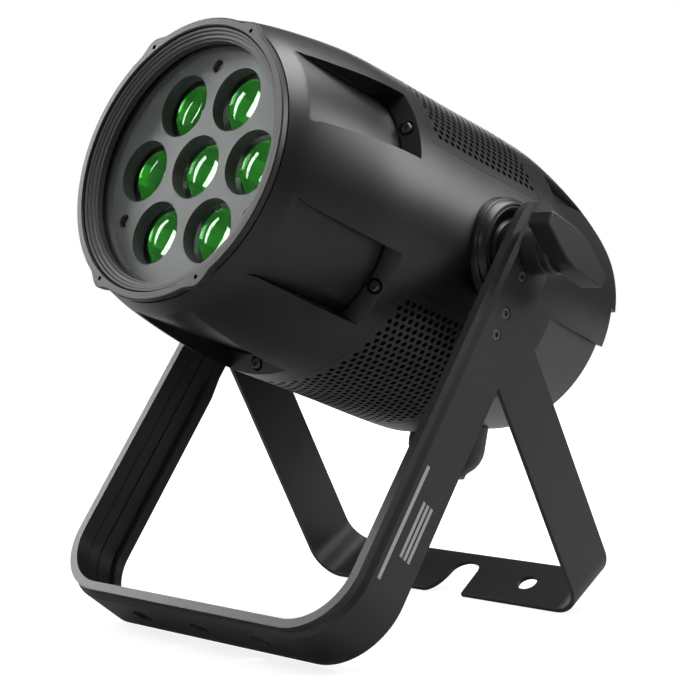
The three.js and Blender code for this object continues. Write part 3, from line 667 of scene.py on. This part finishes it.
def swollen_rim(bm):
    """Pushes the rim out in a smooth bump at each ear."""
    ears = [math.degrees(math.atan2(y, x)) for x, y in EARS]
    for vert in bm.verts:
        radius = math.hypot(vert.co.x, vert.co.y)
        if radius < RING_RADIUS - 2:
            continue
        angle = math.degrees(math.atan2(vert.co.y, vert.co.x))
        away = min(abs((angle - ear + 180) % 360 - 180) for ear in ears)
        if away < EAR_SPREAD:
            swell = EAR_SWELL * (1 + math.cos(math.pi * away / EAR_SPREAD)) / 2
            vert.co.xy = vert.co.xy * ((radius + swell) / radius)
    return bm


def front_ring():
    outline = [
        (RING_REAR, RING_BORE), (RING_REAR, RING_RADIUS), (RING_FRONT - 0.8, RING_RADIUS),
        (RING_FRONT, RING_RADIUS - 0.8), (RING_FRONT, RING_BORE + 1.0), (RING_FRONT - 1.0, RING_BORE),
    ]
    bm = swollen_rim(lathe(outline, steps=288))
    holes = [rod(1.7, RING_REAR - 1, RING_FRONT + 1, x, y, 20) for x, y in EARS]
    return shaped(bm, gathered(*holes))


clamp_lo, clamp_hi = box_in(IN_HEAD, "retaining_ring")


def clamp_ring():
    rear, front = clamp_lo.z, clamp_hi.z
    return lathe([
        (rear, 97), (rear, 105.9), (front, 105.9), (front, 104.4), (front - 0.7, 103.6),
        (front - 1.6, 103.6), (front - 1.6, 101.6), (front - 3.2, 101.2), (front - 3.4, 98.8),
        (front - 5.2, 98.2), (front - 5.6, 97),
    ], steps=192)


finished("front_ring_cast", front_ring(), IN_HEAD, "head", RING_COAT,
         replaces=["front_ring"], edge=0.25)
finished("clamp_ring", clamp_ring(), IN_HEAD, "head", MASK_PLASTIC,
         replaces=["retaining_ring"], edge=0.15)

# %% [markdown]
# Clear glass has to let lamp light through to the lenses behind it. The shader is a plain
# Principled glass; for shadow rays only it turns transparent, which a path tracer needs so that the
# parts behind a window don't go black.

# %% Glass
def glass(name, color, ior, roughness=0.0):
    material, nodes, links = new_material(name)
    shader = nodes["Principled BSDF"]
    shader.inputs["Base Color"].default_value = (*color, 1)
    shader.inputs["Transmission Weight"].default_value = 1.0
    shader.inputs["Roughness"].default_value = roughness
    shader.inputs["IOR"].default_value = ior
    clear = nodes.new("ShaderNodeBsdfTransparent")
    clear.inputs["Color"].default_value = (*color, 1)
    path = nodes.new("ShaderNodeLightPath")
    mix = nodes.new("ShaderNodeMixShader")
    links.new(path.outputs["Is Shadow Ray"], mix.inputs["Fac"])
    links.new(shader.outputs[0], mix.inputs[1])
    links.new(clear.outputs[0], mix.inputs[2])
    links.new(mix.outputs[0], nodes["Material Output"].inputs["Surface"])
    return material


WINDOW_GLASS = glass("window_glass", (0.97, 0.99, 0.98), 1.07)
LENS_GLASS = glass("coated_lens_glass", (0.68, 1.0, 0.66), 1.5)

glass_lo, glass_hi = box_in(IN_HEAD, "front_glass")
disc = rod(glass_hi.x, glass_lo.z, glass_hi.z, steps=160)
finished("window", disc, IN_HEAD, "head", WINDOW_GLASS, replaces=["front_glass"], edge=0.4)

# %% Mask
mask_lo, mask_hi = box_in(IN_HEAD, "lens_mask")
MASK_FRONT = 220
MASK_REAR = 216
TUBE_REAR = 208.6
LENS_PITCH = 60.6
PORT_RADIUS = 25.8
ROD_CIRCLE = 83
SIX = range(6)
ports = [(0, 0)] + [
    (LENS_PITCH * math.cos(math.radians(60 * i)), LENS_PITCH * math.sin(math.radians(60 * i)))
    for i in SIX
]
rods = [
    (ROD_CIRCLE * math.cos(math.radians(a)), ROD_CIRCLE * math.sin(math.radians(a)))
    for a in (90, 210, 330)
]


def mask():
    """The plate in its sleeve, with seven tubes behind it and the ports cut through."""
    plate = lathe([
        (MASK_REAR, 98), (mask_lo.z, 98), (mask_lo.z, mask_hi.x), (mask_hi.z, mask_hi.x),
        (mask_hi.z, 96.9), (MASK_FRONT + 1.5, 96.5), (MASK_FRONT, 95.4), (MASK_FRONT, 20),
        (MASK_REAR, 20),
    ], steps=160)
    plug = rod(21, MASK_REAR, MASK_FRONT, steps=32)
    plate = shaped(plate, plug, "UNION")
    tube = [
        (TUBE_REAR, PORT_RADIUS - 2), (TUBE_REAR, PORT_RADIUS + 1.2),
        (MASK_REAR + 1, PORT_RADIUS + 1.2), (MASK_REAR + 1, PORT_RADIUS - 2),
    ]
    tubes = [moved(lathe(tube, 64), x, y, 0) for x, y in ports]
    plate = shaped(plate, gathered(*tubes), "UNION")
    cuts = [rod(PORT_RADIUS, 200, MASK_FRONT + 2, x, y, 64) for x, y in ports]
    cuts += [rod(5.5, 200, MASK_FRONT + 2, x, y, 32) for x, y in rods]
    return shaped(plate, gathered(*cuts))


finished("mask_moulding", mask(), IN_HEAD, "head", MASK_PLASTIC,
         replaces=["lens_mask"], edge=0.35)
print("front of the head done")

# %% [markdown]
# ## The lenses
# Seven domed lenses share one carrier that slides for the zoom. Each is a thick dome with its
# faceted light cup behind it. The cup keeps its eight flat sides, since those give the bright
# broken reflections that are seen through the dome.

# %% Lenses and cups
LENS_RADIUS = 24
LENS_SEAT = box_in(IN_HEAD, "lens_array")[0].z


def lens():
    dome = [(LENS_SEAT, 0), (LENS_SEAT, LENS_RADIUS), (LENS_SEAT + 1.6, LENS_RADIUS)]
    for i in range(1, 13):
        turn = math.radians(90 * i / 12)
        dome.append((LENS_SEAT + 1.6 + 8.4 * math.sin(turn), (LENS_RADIUS - 0.6) * math.cos(turn)))
    dome[-1] = (LENS_SEAT + 10, 0)
    return lathe(dome, steps=64)


lenses = gathered(*[moved(lens(), x, y, 0) for x, y in ports])
web = [turned(block(22, LENS_PITCH - 22, -4, 4, LENS_SEAT, LENS_SEAT + 1.4), 60 * i) for i in SIX]
finished("dome_lenses", gathered(lenses, *web), IN_HEAD, "lens_carrier", LENS_GLASS,
         replaces=["lens_array"], edge=0)

CUP_PAINT = grained("light_cup", (0.22, 0.62, 0.2), 0.16, 400, 0.05, dust=0, metallic=0.7)


def light_cup():
    rear, front = LENS_SEAT - 27, LENS_SEAT - 0.6
    return lathe([(rear, 8.2), (rear, 9.4), (front, 21.3), (front, 20.3)], steps=8, start=11)


cups = gathered(*[moved(light_cup(), x, y, 0) for x, y in ports])
finished("light_cups", cups, IN_HEAD, "lens_carrier", CUP_PAINT, edge=0.1, smooth=20)

# %% [markdown]
# A short square light guide stands inside each cup. It is translucent, and a faint emission paints on
# it a little glow for the light that has come in round it, as the lamp is off. One fault is left: with
# the zoom fully back, each guide cuts 0.7 mm into the collimator on the board behind it.

# %% Light guides
GUIDE = grained("light_guide", (0.5, 0.95, 0.42), 0.15, 400, 0.05, dust=0)
guide_shader = GUIDE.node_tree.nodes["Principled BSDF"]
# Painted light: this emission is a painted glow, since the guide is no lamp and the lamp is off.
guide_shader.inputs["Emission Color"].default_value = (0.42, 1.0, 0.34, 1)
guide_shader.inputs["Emission Strength"].default_value = 0.3


def light_guide(turn):
    guide = lathe([(LENS_SEAT - 25, 0), (LENS_SEAT - 25, 7.2), (LENS_SEAT - 15, 6.2),
                   (LENS_SEAT - 13.5, 3.6), (LENS_SEAT - 13.5, 0)], steps=4)
    return turned(guide, turn)


guides = gathered(*[moved(light_guide(38), x, y, 0) for x, y in ports])
finished("light_guides", guides, IN_HEAD, "lens_carrier", GUIDE, edge=0.3, smooth=20)

plate_lo, plate_hi = box_in(IN_HEAD, "lens_plate")


def carrier_plate():
    plate = rod(92, plate_hi.z - 6, plate_hi.z, steps=128)
    bushes = [rod(7, plate_lo.z, plate_hi.z - 1, x, y, 32) for x, y in rods]
    plate = shaped(plate, gathered(*bushes), "UNION")
    cuts = [rod(21.5, plate_lo.z - 8, plate_hi.z + 1, x, y, 48) for x, y in ports]
    cuts += [rod(4.4, plate_lo.z - 8, plate_hi.z + 1, x, y, 24) for x, y in rods]
    return shaped(plate, gathered(*cuts))


finished("carrier_plate", carrier_plate(), IN_HEAD, "lens_carrier", MASK_PLASTIC,
         replaces=["lens_plate"], edge=0.3)
print("lenses done")

# %% [markdown]
# ## Tilt hubs and lock knobs
# The head hangs on a turned hub at each side. The hub has a rolled rim, a thin raised ring and a
# dished groove round the neck. A wing knob presses the arm against it. Left and right are the same
# shapes looked at from opposite sides, so a shape is drawn with Z outwards and laid over.

# %% Hubs
def sideways(bm, side):
    """Lays a shape drawn with Z outwards onto the right (1) or left (-1) side."""
    for vert in bm.verts:
        x, y, z = vert.co
        vert.co = (side * z, x, y)
    bmesh.ops.recalc_face_normals(bm, faces=bm.faces)
    return bm


HUB_OUTLINE = [
    (127, 6.3), (127, 44), (139.4, 44), (141.0, 43.3), (141.8, 41.9), (145.6, 40.6), (147.3, 39),
    (147.3, 37.3), (146.5, 36.8), (146.5, 36.2), (147.3, 35.7), (147.3, 34.2), (143.4, 31.8),
    (143.4, 26.6), (146.2, 24.4), (152.5, 24), (152.5, 6.3),
]
SIDES = (("right", 1), ("left", -1))
for name, side in SIDES:
    hub = sideways(lathe(HUB_OUTLINE, steps=128), side)
    finished("turned_hub_" + name, hub, AT_PIVOT, "head", SHELL_COAT,
             replaces=["tilt_hub_" + name], edge=0.25)

# %% Knobs
WING_TURN = -34.6
WING_OUTLINE = [
    (-44, -4.5), (-42.5, -6.2), (-8, -14), (8, -14), (42.5, -6.2), (44, -4.5),
    (44, 4.5), (42.5, 6.2), (8, 14), (-8, 14), (-42.5, 6.2), (-44, 4.5),
]


def flat_plate(outline, z0, z1):
    """A closed outline of [x, y] points made into a plate."""
    bm = bmesh.new()
    points = [bm.verts.new((x, y, z0)) for x, y in outline]
    for pair in zip(points, points[1:] + points[:1]):
        bm.edges.new(pair)
    bmesh.ops.contextual_create(bm, geom=bm.edges)
    made = bmesh.ops.extrude_face_region(bm, geom=bm.faces)["geom"]
    top = [v for v in made if isinstance(v, bmesh.types.BMVert)]
    bmesh.ops.translate(bm, verts=top, vec=(0, 0, z1 - z0))
    bmesh.ops.recalc_face_normals(bm, faces=bm.faces)
    return bm


def bevelled(bm, edges, width, segments=2):
    bmesh.ops.bevel(bm, geom=edges, offset=width, offset_type="OFFSET", segments=segments,
                    profile=0.5, affect="EDGES", clamp_overlap=True, material=-1)
    return bm


WING_INNER = 188.2
WING_OUTER = 207.6
STUD_BORE = 6.3


def lock_knob(side):
    """The wing, with its outer rim rounded, on a grooved hub that is bored for the stud."""
    wing = flat_plate(WING_OUTLINE, WING_INNER, WING_OUTER)
    rim = [e for e in wing.edges if min(v.co.z for v in e.verts) > WING_OUTER - 1]
    bevelled(wing, rim, 1.3)
    turned(wing, WING_TURN)
    hub = lathe([
        (165.3, 0), (165.3, 18.4), (165.9, 19), (181.2, 19), (181.8, 18.2), (183.4, 18.2),
        (184, 19), (188.4, 19), (190.5, 17.5), (190.5, 0),
    ], steps=96)
    knob = shaped(wing, hub, "UNION")
    knob = shaped(knob, rod(STUD_BORE, 160, 182.3, steps=32))
    return sideways(knob, side)


for name, side in SIDES:
    finished("wing_knob_" + name, lock_knob(side), AT_PIVOT, "knob_" + name, KNOB_PLASTIC,
             replaces=["lock_knob_" + name], edge=0.5, smooth=20)
print("hubs and knobs done")

# %% [markdown]
# ## The yokes
# Each yoke is an extruded bar bent into a U, so it is swept: the section is drawn once at the foot
# of the right arm, turned through the bend, carried across and turned again. The front bar is an
# aluminium extrusion with a stepped front lip, a groove inside and a stiffening rib. The rear one is
# a plain flat bar.

# %% Swept bars
def swept_u(section, half_width, drop, corner, top, steps=20):
    """A closed section of [depth, y] points carried round a U. Depth is measured from outside."""
    bm = bmesh.new()
    level = corner - drop
    ring = [bm.verts.new((half_width - depth, y, level)) for depth, y in section]
    start = [bm.edges.new(pair) for pair in zip(ring, ring[1:] + ring[:1])]

    def carried(edges, vec):
        made = bmesh.ops.extrude_edge_only(bm, edges=edges)["geom"]
        bmesh.ops.translate(bm, verts=[v for v in made if isinstance(v, bmesh.types.BMVert)], vec=vec)
        return [e for e in made if isinstance(e, bmesh.types.BMEdge)]

    def bent(edges, x):
        last = bmesh.ops.spin(
            bm, geom=edges, cent=(x, 0, level), axis=(0, 1, 0), angle=math.radians(90),
            steps=steps, use_merge=False, use_normal_flip=False, use_duplicate=False,
        )["geom_last"]
        return [e for e in last if isinstance(e, bmesh.types.BMEdge)]

    edges = bent(start, half_width - corner)
    edges = carried(edges, (-2 * (half_width - corner), 0, 0))
    edges = bent(edges, corner - half_width)
    left = carried(edges, (0, 0, top - level))
    right = carried(start, (0, 0, top - level))
    for cap in (left, right):
        bmesh.ops.contextual_create(bm, geom=cap)
    bmesh.ops.remove_doubles(bm, verts=bm.verts, dist=1e-3)
    bmesh.ops.recalc_face_normals(bm, faces=bm.faces)
    return bm


def across(radius, x0, x1, y, z, steps=32):
    """A round bar along X."""
    bm = turned(rod(radius, x0, x1, steps=steps), 90, "Y")
    return moved(bm, 0, y, z)


# %% Front yoke
HALF_WIDTH = 165
FRONT_DROP = 359.806
FRONT_CORNER = 56
ARM_CENTRE = 17
ARM_HALF = 26.5
SCREW_DROPS = (25, 61, 81)
SHANK_BORE = 3.3
SEAT_BORE = 5.3
SEAT_FACE = 161.7
BAR_HOLES = (-69, 0, 69)
FRONT_SECTION = [
    (0, 26.5), (0, -15.8), (3.2, -19.4), (3.2, -26.5), (10.4, -26.5), (10.4, -13.2),
    (9.9, -12.9), (9.9, -12.1), (10.4, -11.8), (10.4, -1.2), (9.5, -0.8), (9.5, 0.2),
    (10.4, 0.6), (10.4, 26.5),
]
RIB_SECTION = [(9.4, 26.2), (9.4, 16.5), (14.8, 17.1), (14.8, 26.2)]
RIB_TOP = -114
RIB_RUNOUT = 26


def stiffening_rib():
    """The rib inside the bar. Its last stretch slopes away into the arm."""
    rib = swept_u(RIB_SECTION, HALF_WIDTH, FRONT_DROP, FRONT_CORNER, RIB_TOP)
    whole = rib.verts[:] + rib.edges[:] + rib.faces[:]
    bmesh.ops.bisect_plane(
        rib, geom=whole, plane_co=(0, 0, RIB_TOP - RIB_RUNOUT), plane_no=(0, 0, 1)
    )
    for vert in rib.verts:
        if vert.co.z > RIB_TOP - 1 and abs(vert.co.x) < HALF_WIDTH - 12:
            vert.co.x = math.copysign(HALF_WIDTH - 10.2, vert.co.x)
    return rib


def front_yoke():
    bar = swept_u(FRONT_SECTION, HALF_WIDTH, FRONT_DROP, FRONT_CORNER, ARM_CENTRE + ARM_HALF + 1)
    rib = stiffening_rib()
    bar = shaped(bar, rib, "UNION")
    reach = HALF_WIDTH + 3
    corners = block(-reach, reach, -30, 30, ARM_CENTRE, ARM_CENTRE + ARM_HALF + 4)
    corners = shaped(corners, across(ARM_HALF, -reach - 2, reach + 2, 0, ARM_CENTRE, 96))
    bar = shaped(bar, corners)
    tools = [across(STUD_BORE, -reach, reach, 0, 0)]
    for drop in SCREW_DROPS:
        tools.append(across(SHANK_BORE, -reach, reach, 0, -drop, 20))
        seats = [across(SEAT_BORE, SEAT_FACE, reach, 0, -drop),
                 across(SEAT_BORE, -reach, -SEAT_FACE, 0, -drop)]
        bar = shaped(bar, gathered(*seats))
    for x in BAR_HOLES:
        tools.append(rod(8.5, -FRONT_DROP - 1, -FRONT_DROP + 12, x, 3.5, 48))
    return shaped(bar, gathered(*tools))


finished("front_yoke_bar", front_yoke(), IN_FRONT_YOKE, "stand", YOKE_COAT,
         replaces=["front_yoke"], edge=0.6)

# %% [markdown]
# The rear bar carries the open slot that slides over a clamp bolt. Its mouth flares so the light
# can be hooked on and then slid home.

# %% Rear yoke
REAR_HALF = 154.3
REAR_DROP = 306.342
REAR_CORNER = 28
REAR_CENTRE = -53.9
REAR_EDGE = 27.5
HOOK_X = 6
HOOK_HALF = 14.5
HOOK_END = 2.5


def hook_slot():
    mouth = -REAR_EDGE - 1
    outline = [(HOOK_X - HOOK_HALF - 16, mouth)]
    for i in range(9):
        t = i / 8
        x = (1 - t) ** 2 * -10 + t**2 * 0
        y = (1 - t) ** 2 * (mouth + 2) + 2 * t * (1 - t) * (mouth + 8) + t**2 * HOOK_END
        outline.append((HOOK_X - HOOK_HALF + x, y))
    for i in range(1, 25):
        angle = math.radians(180 - 180 * i / 24)
        outline.append((HOOK_X + HOOK_HALF * math.cos(angle), HOOK_END + HOOK_HALF * math.sin(angle)))
    outline.append((HOOK_X + HOOK_HALF + 3, mouth))
    return moved(flat_plate(outline, -REAR_DROP - 1, -REAR_DROP + 5), 0, REAR_CENTRE, 0)


def rear_yoke():
    y0, y1 = REAR_CENTRE - REAR_EDGE, REAR_CENTRE + REAR_EDGE
    bar = swept_u([(0, y0), (4, y0), (4, y1), (0, y1)], REAR_HALF, REAR_DROP, REAR_CORNER, -10, 16)
    reach = REAR_HALF + 2
    lean = math.radians(FRONT_LEAN + REAR_LEAN)
    holes = [
        across(SHANK_BORE, -reach, reach, -drop * math.sin(lean), -drop * math.cos(lean), 20)
        for drop in SCREW_DROPS[1:]
    ]
    holes.append(rod(9, -REAR_DROP - 1, -REAR_DROP + 5, 80, REAR_CENTRE, 48))
    return shaped(shaped(bar, gathered(*holes)), hook_slot())


finished("rear_yoke_bar", rear_yoke(), IN_REAR_YOKE, "stand", YOKE_COAT,
         replaces=["rear_yoke"], edge=0.4)
print("yokes done")

# %% [markdown]
# The maker's lettering on the right arm is left out. A few plain painted stripes keep its place, as
# thin sheets just above the coat.

# %% Arm stripes
STRIPE_PAINT = grained("stripe_paint", (0.42, 0.42, 0.41), 0.5, 500, 0.1, dust=0.02)
stripes = gathered(
    block(165.02, 165.12, -11, -7.5, -300, -206),
    block(165.02, 165.12, 1, 4, -276, -230),
    block(165.02, 165.12, 6, 9, -276, -230),
    block(165.02, 165.12, 11, 14, -276, -230),
)
finished("arm_stripes", stripes, IN_FRONT_YOKE, "stand", STRIPE_PAINT, edge=0)

# %% [markdown]
# ## Screws
# Machine screws are turned with a small chamfer and a hexagon socket. The socket is a six-sided rod
# taken out of the head.

# %% Screws
def socket_screw(radius, rear, seat, front, shank):
    """A screw along Z with its head from seat to front and its shank back to rear."""
    body = lathe([
        (rear, 0), (rear, shank), (seat, shank), (seat, radius), (front - 0.5, radius),
        (front, radius - 0.5), (front, 0),
    ], steps=40)
    return shaped(body, rod(radius * 0.5, front - 1.6, front + 1, steps=6))


for name, side in SIDES:
    screws = [
        moved(sideways(socket_screw(5, 154.8 if drop == 25 else 150.8, 162, 164.8, 3), side),
              0, 0, -drop)
        for drop in SCREW_DROPS
    ]
    finished("arm_screws_" + name, gathered(*screws), IN_FRONT_YOKE, "stand", BLACK_STEEL,
             replaces=[f"arm_screw_{name}_{i}" for i in (1, 2, 3)], edge=0.12)

shell_screw = moved(socket_screw(4.5, 103.2, 111.4, 116, 2), SCREW_CIRCLE, 0, 0)
finished("shell_screws", around(shell_screw, SCOOPS, SCOOP_FIRST), IN_HEAD, "head", BLACK_STEEL,
         replaces=[f"shell_screw_{i + 1}" for i in range(SCOOPS)], edge=0.12)
print("screws done")

# %% [markdown]
# ## The back
# Behind the head are the panel with its display and four keys, four sockets under sealed caps, a
# small pressure valve and the eye for the safety rope. A shallow frame round the display and
# printed rings round the keys are the usual finish of such a panel.

# %% Back panel
PANEL_OUT = -186
CAPS = {
    "power_in": (-66, -50), "power_out": (-24, -74), "data_in": (24, -74), "data_out": (66, -50),
}
KEYS = {"menu": -25.5, "down": -8.5, "up": 8.5, "enter": 25.5}


def rear_panel():
    plate = lathe([
        (PANEL_OUT + 4, 0), (PANEL_OUT + 4, 106.4), (PANEL_OUT, 106.4), (PANEL_OUT, 0),
    ], steps=128)
    collars = [rod(13, PANEL_OUT - 4, PANEL_OUT + 1, x, y, 48) for x, y in CAPS.values()]
    plate = shaped(plate, gathered(*collars), "UNION")
    stems = [rod(3.3, PANEL_OUT - 1, PANEL_OUT + 5, x, 12, 24) for x in KEYS.values()]
    return shaped(plate, gathered(*stems))


finished("rear_panel_plate", rear_panel(), IN_HEAD, "head", SHELL_COAT,
         replaces=["rear_panel"], edge=0.4)


def display_frame():
    outer = block(-42, 42, 24, 68, PANEL_OUT - 1.9, PANEL_OUT - 0.02)
    return shaped(outer, block(-38.1, 38.1, 27.9, 64.1, PANEL_OUT - 3, PANEL_OUT + 1))


finished("display_frame", display_frame(), IN_HEAD, "head", PLASTIC, edge=0.6)
key_rings = [
    moved(lathe([(PANEL_OUT - 0.4, 5.6), (PANEL_OUT - 0.4, 6.6), (PANEL_OUT - 0.02, 6.6),
                 (PANEL_OUT - 0.02, 5.6)], 40), x, 12, 0)
    for x in KEYS.values()
]
finished("key_rings", gathered(*key_rings), IN_HEAD, "head", STRIPE_PAINT, edge=0)
display_lo, display_hi = box_in(IN_HEAD, "display_window")
window = block(display_lo.x, display_hi.x, display_lo.y, display_hi.y, display_lo.z, display_hi.z)
finished("display_pane", window, IN_HEAD, "head", WINDOW_GLASS, replaces=["display_window"],
         edge=0.2)

# %% Keys, caps, valve and eye
for name, x in KEYS.items():
    under = PANEL_OUT - 1.7
    key = lathe([
        (PANEL_OUT + 8, 0), (PANEL_OUT + 8, 3), (under, 3), (under, 5), (under - 1.6, 5),
        (under - 2, 4.6), (under - 2, 3.2), (under - 1.5, 0),
    ], steps=48)
    finished(name + "_key_top", moved(key, x, 12, 0), IN_HEAD, name + "_key", RUBBER,
             replaces=[name + "_button"], edge=0.2)


def socket_cap():
    """A quarter-turn cap: a lipped disc with three grip bars and a raised bar across its face."""
    front = PANEL_OUT - 4.3
    outer = front - 9.5
    body = lathe([
        (front, 0), (front, 13.6), (front - 0.6, 14), (outer + 1.6, 14), (outer + 0.4, 13.2),
        (outer, 11.6), (outer, 8.4), (outer + 1, 7.6), (outer + 1, 0),
    ], steps=72)
    grips = [turned(block(-14.9, 14.9, -2, 2, outer + 1.2, front - 0.6), 60 * i) for i in range(3)]
    bar = block(-8, 8, -1.8, 1.8, outer + 0.2, outer + 2)
    return shaped(shaped(body, gathered(*grips), "UNION"), bar, "UNION")


for name, (x, y) in CAPS.items():
    finished(name + "_cap_moulding", moved(socket_cap(), x, y, 0), IN_HEAD, name + "_cover", RUBBER,
             replaces=[name + "_cap"], edge=0.3)

valve = lathe([
    (PANEL_OUT - 0.3, 0), (PANEL_OUT - 0.3, 8), (PANEL_OUT - 2.6, 8), (PANEL_OUT - 3.5, 7),
    (PANEL_OUT - 3.5, 4.4), (PANEL_OUT - 2.8, 3.8), (PANEL_OUT - 2.8, 0),
], steps=6)
finished("valve_nut", moved(valve, 0, -14, 0), IN_HEAD, "head", PLASTIC,
         replaces=["vent_valve"], edge=0.3)


def safety_eye():
    eye = moved(across(6.4, -2.5, 2.5, 0, 0, 48), 0, 84, PANEL_OUT - 7)
    foot = block(-2.5, 2.5, 77.6, 90.4, PANEL_OUT - 7, PANEL_OUT - 0.3)
    base = block(-8, 8, 72, 96, PANEL_OUT - 2, PANEL_OUT - 0.3)
    body = shaped(shaped(eye, foot, "UNION"), base, "UNION")
    hole = moved(across(4, -4, 4, 0, 0, 40), 0, 84, PANEL_OUT - 7.4)
    return shaped(body, hole)


finished("rope_eye", safety_eye(), IN_HEAD, "head", STEEL, replaces=["safety_eye"], edge=0.5)

# %% [markdown]
# What the plastic drum under the belly covers is a guess, most likely a sensor or an aerial. It
# stands on the recessed floor of the rear shell, so a copy of that floor trims its top.

# %% Belly drum
DOME_AHEAD = -136


def belly_drum():
    drum = lathe([
        (-100, 0), (-100, 34), (-138, 35), (-143, 34.4), (-149, 32.4), (-154, 29.2), (-157.5, 25.6),
        (-160, 23), (-162.5, 21.9), (-165, 21.5), (-165, 0),
    ], steps=96)
    drum = moved(turned(drum, -90, "X"), 0, 0, DOME_AHEAD)
    floor_cone = lathe([
        (RIM_STEP - 4, 0), (RIM_STEP - 4, RECESS_RIM - 0.6), (RIM_STEP, RECESS_RIM + 0.3),
        (RECESS_FRONT, 137.7), (RECESS_FRONT + 0.1, 145), (0, 145), (0, 0),
    ], steps=160)
    return shaped(drum, floor_cone)


finished("belly_drum", belly_drum(), IN_HEAD, "head", PLASTIC, replaces=["belly_dome"], edge=0.5)
print("back done")

# %% [markdown]
# ## Materials for the parts kept from the mechanical model
# Deep inside parts already have the right shape, so they only get a surface.

# %% Inner parts
KEPT = {
    RUBBER: ["glass_gasket"],
    BOARD: ["led_board", "control_board"],
    ALUMINIUM: ["heat_sink", "chassis", "power_supply"],
    STEEL: ["guide_rod_1", "guide_rod_2", "lead_screw", "knob_stud_right", "knob_stud_left"],
    BLACK_STEEL: ["zoom_motor"],
    PLASTIC: ["fan_frame", "fan_impeller", "friction_washer_right", "friction_washer_left"],
}
for material, names in KEPT.items():
    for name in names:
        slots = frame["nodes"][name].data.materials
        slots.clear()
        slots.append(material)
shown = [name for names in KEPT.values() for name in names]
print(len(shown), "inner parts have a surface")

# %% [markdown]
# ## Camera, light and floor
# The camera stands to the right of the light, a little above the lens axis, with a long lens. The
# soft light comes from a large panel overhead and one on each of the four sides, on a floor that
# fades into a white room. Dark objects are drawn by what they reflect, so the room behind the
# camera is dim and only the panels are bright.

# %% Camera
camera_data = bpy.data.cameras.new("camera")
camera_data.lens = 83.96
camera_data.sensor_width = 36
camera = bpy.data.objects.new("camera", camera_data)
camera.location = (0.9226, -0.9987, 0.2729)
camera.rotation_euler = (math.radians(90 - 1.68), math.radians(0.19), math.radians(43.59))
bpy.context.scene.collection.objects.link(camera)
bpy.context.scene.camera = camera


# %% Softboxes
def area_light(name, size, energy, place, target):
    data = bpy.data.lights.new(name, "AREA")
    data.shape = "RECTANGLE"
    data.size, data.size_y = size
    data.energy = energy
    lamp = bpy.data.objects.new(name, data)
    lamp.location = place
    lamp.rotation_euler = (Vector(target) - Vector(place)).to_track_quat("-Z", "Y").to_euler()
    bpy.context.scene.collection.objects.link(lamp)
    return lamp


area_light("top_softbox", (1.8, 1.4), 56, (0.4, 0.5, 2.2), (0, 0, 0.3))
area_light("left_softbox", (0.7, 1.1), 35, (-2.05, -0.86, 1.35), (0, 0, 0.3))
area_light("right_softbox", (1.0, 1.2), 27, (1.5, 1.7, 1.3), (0, 0, 0.3))
area_light("front_softbox", (1.2, 0.8), 19, (-0.4, -2.5, 1.4), (0, 0, 0.3))
area_light("back_softbox", (1.4, 1.0), 16, (-1.8, 2.0, 0.8), (0, 0, 0.3))

# %% [markdown]
# The room is white to the camera's own rays alone, and dim to all others, so it lights nothing
# much. Light Path tells them apart. The backdrop stays clean while the coat keeps its depth. The
# floor glows to the camera in the same way, but weaker near the lamp, as painted shade round
# where it stands, rising to white further off.

# %% Room
world = bpy.data.worlds.new("studio")
world.use_nodes = True
nodes, links = world.node_tree.nodes, world.node_tree.links
background = nodes["Background"]
background.inputs["Color"].default_value = (1, 1, 1, 1)
path = nodes.new("ShaderNodeLightPath")
level = nodes.new("ShaderNodeMapRange")
level.inputs["To Min"].default_value = 0.08
level.inputs["To Max"].default_value = 1.0
links.new(path.outputs["Is Camera Ray"], level.inputs["Value"])
links.new(level.outputs["Result"], background.inputs["Strength"])
bpy.context.scene.world = world
bpy.context.scene.view_settings.view_transform = "Standard"

FLOOR_PAINT = grained("pale_floor", (0.4, 0.4, 0.4), 0.8, 40, 0.02, dust=0, specular=0.2)
nodes, links = FLOOR_PAINT.node_tree.nodes, FLOOR_PAINT.node_tree.links
place = nodes.new("ShaderNodeTexCoord")
away = nodes.new("ShaderNodeVectorMath")
away.operation = "LENGTH"
links.new(place.outputs["Object"], away.inputs[0])
# Painted shade: the floor's glow is 0.8 within 0.25 m of the middle, where the lamp stands, and rises
# to full white at 1.1 m.
shade_near_white_far = nodes.new("ShaderNodeMapRange")
shade_near_white_far.inputs["From Min"].default_value = 0.25
shade_near_white_far.inputs["From Max"].default_value = 1.1
shade_near_white_far.inputs["To Min"].default_value = 0.8
shade_near_white_far.inputs["To Max"].default_value = 1.0
links.new(away.outputs["Value"], shade_near_white_far.inputs["Value"])
seen = nodes.new("ShaderNodeLightPath")
fill = nodes.new("ShaderNodeMath")
fill.operation = "MULTIPLY"
links.new(seen.outputs["Is Camera Ray"], fill.inputs[0])
links.new(shade_near_white_far.outputs["Result"], fill.inputs[1])
nodes["Principled BSDF"].inputs["Emission Color"].default_value = (1, 1, 1, 1)
links.new(fill.outputs[0], nodes["Principled BSDF"].inputs["Emission Strength"])
floor = as_object("floor", block(-6, 6, -6, 6, -0.02, -0.0005))
floor.data.materials.append(FLOOR_PAINT)
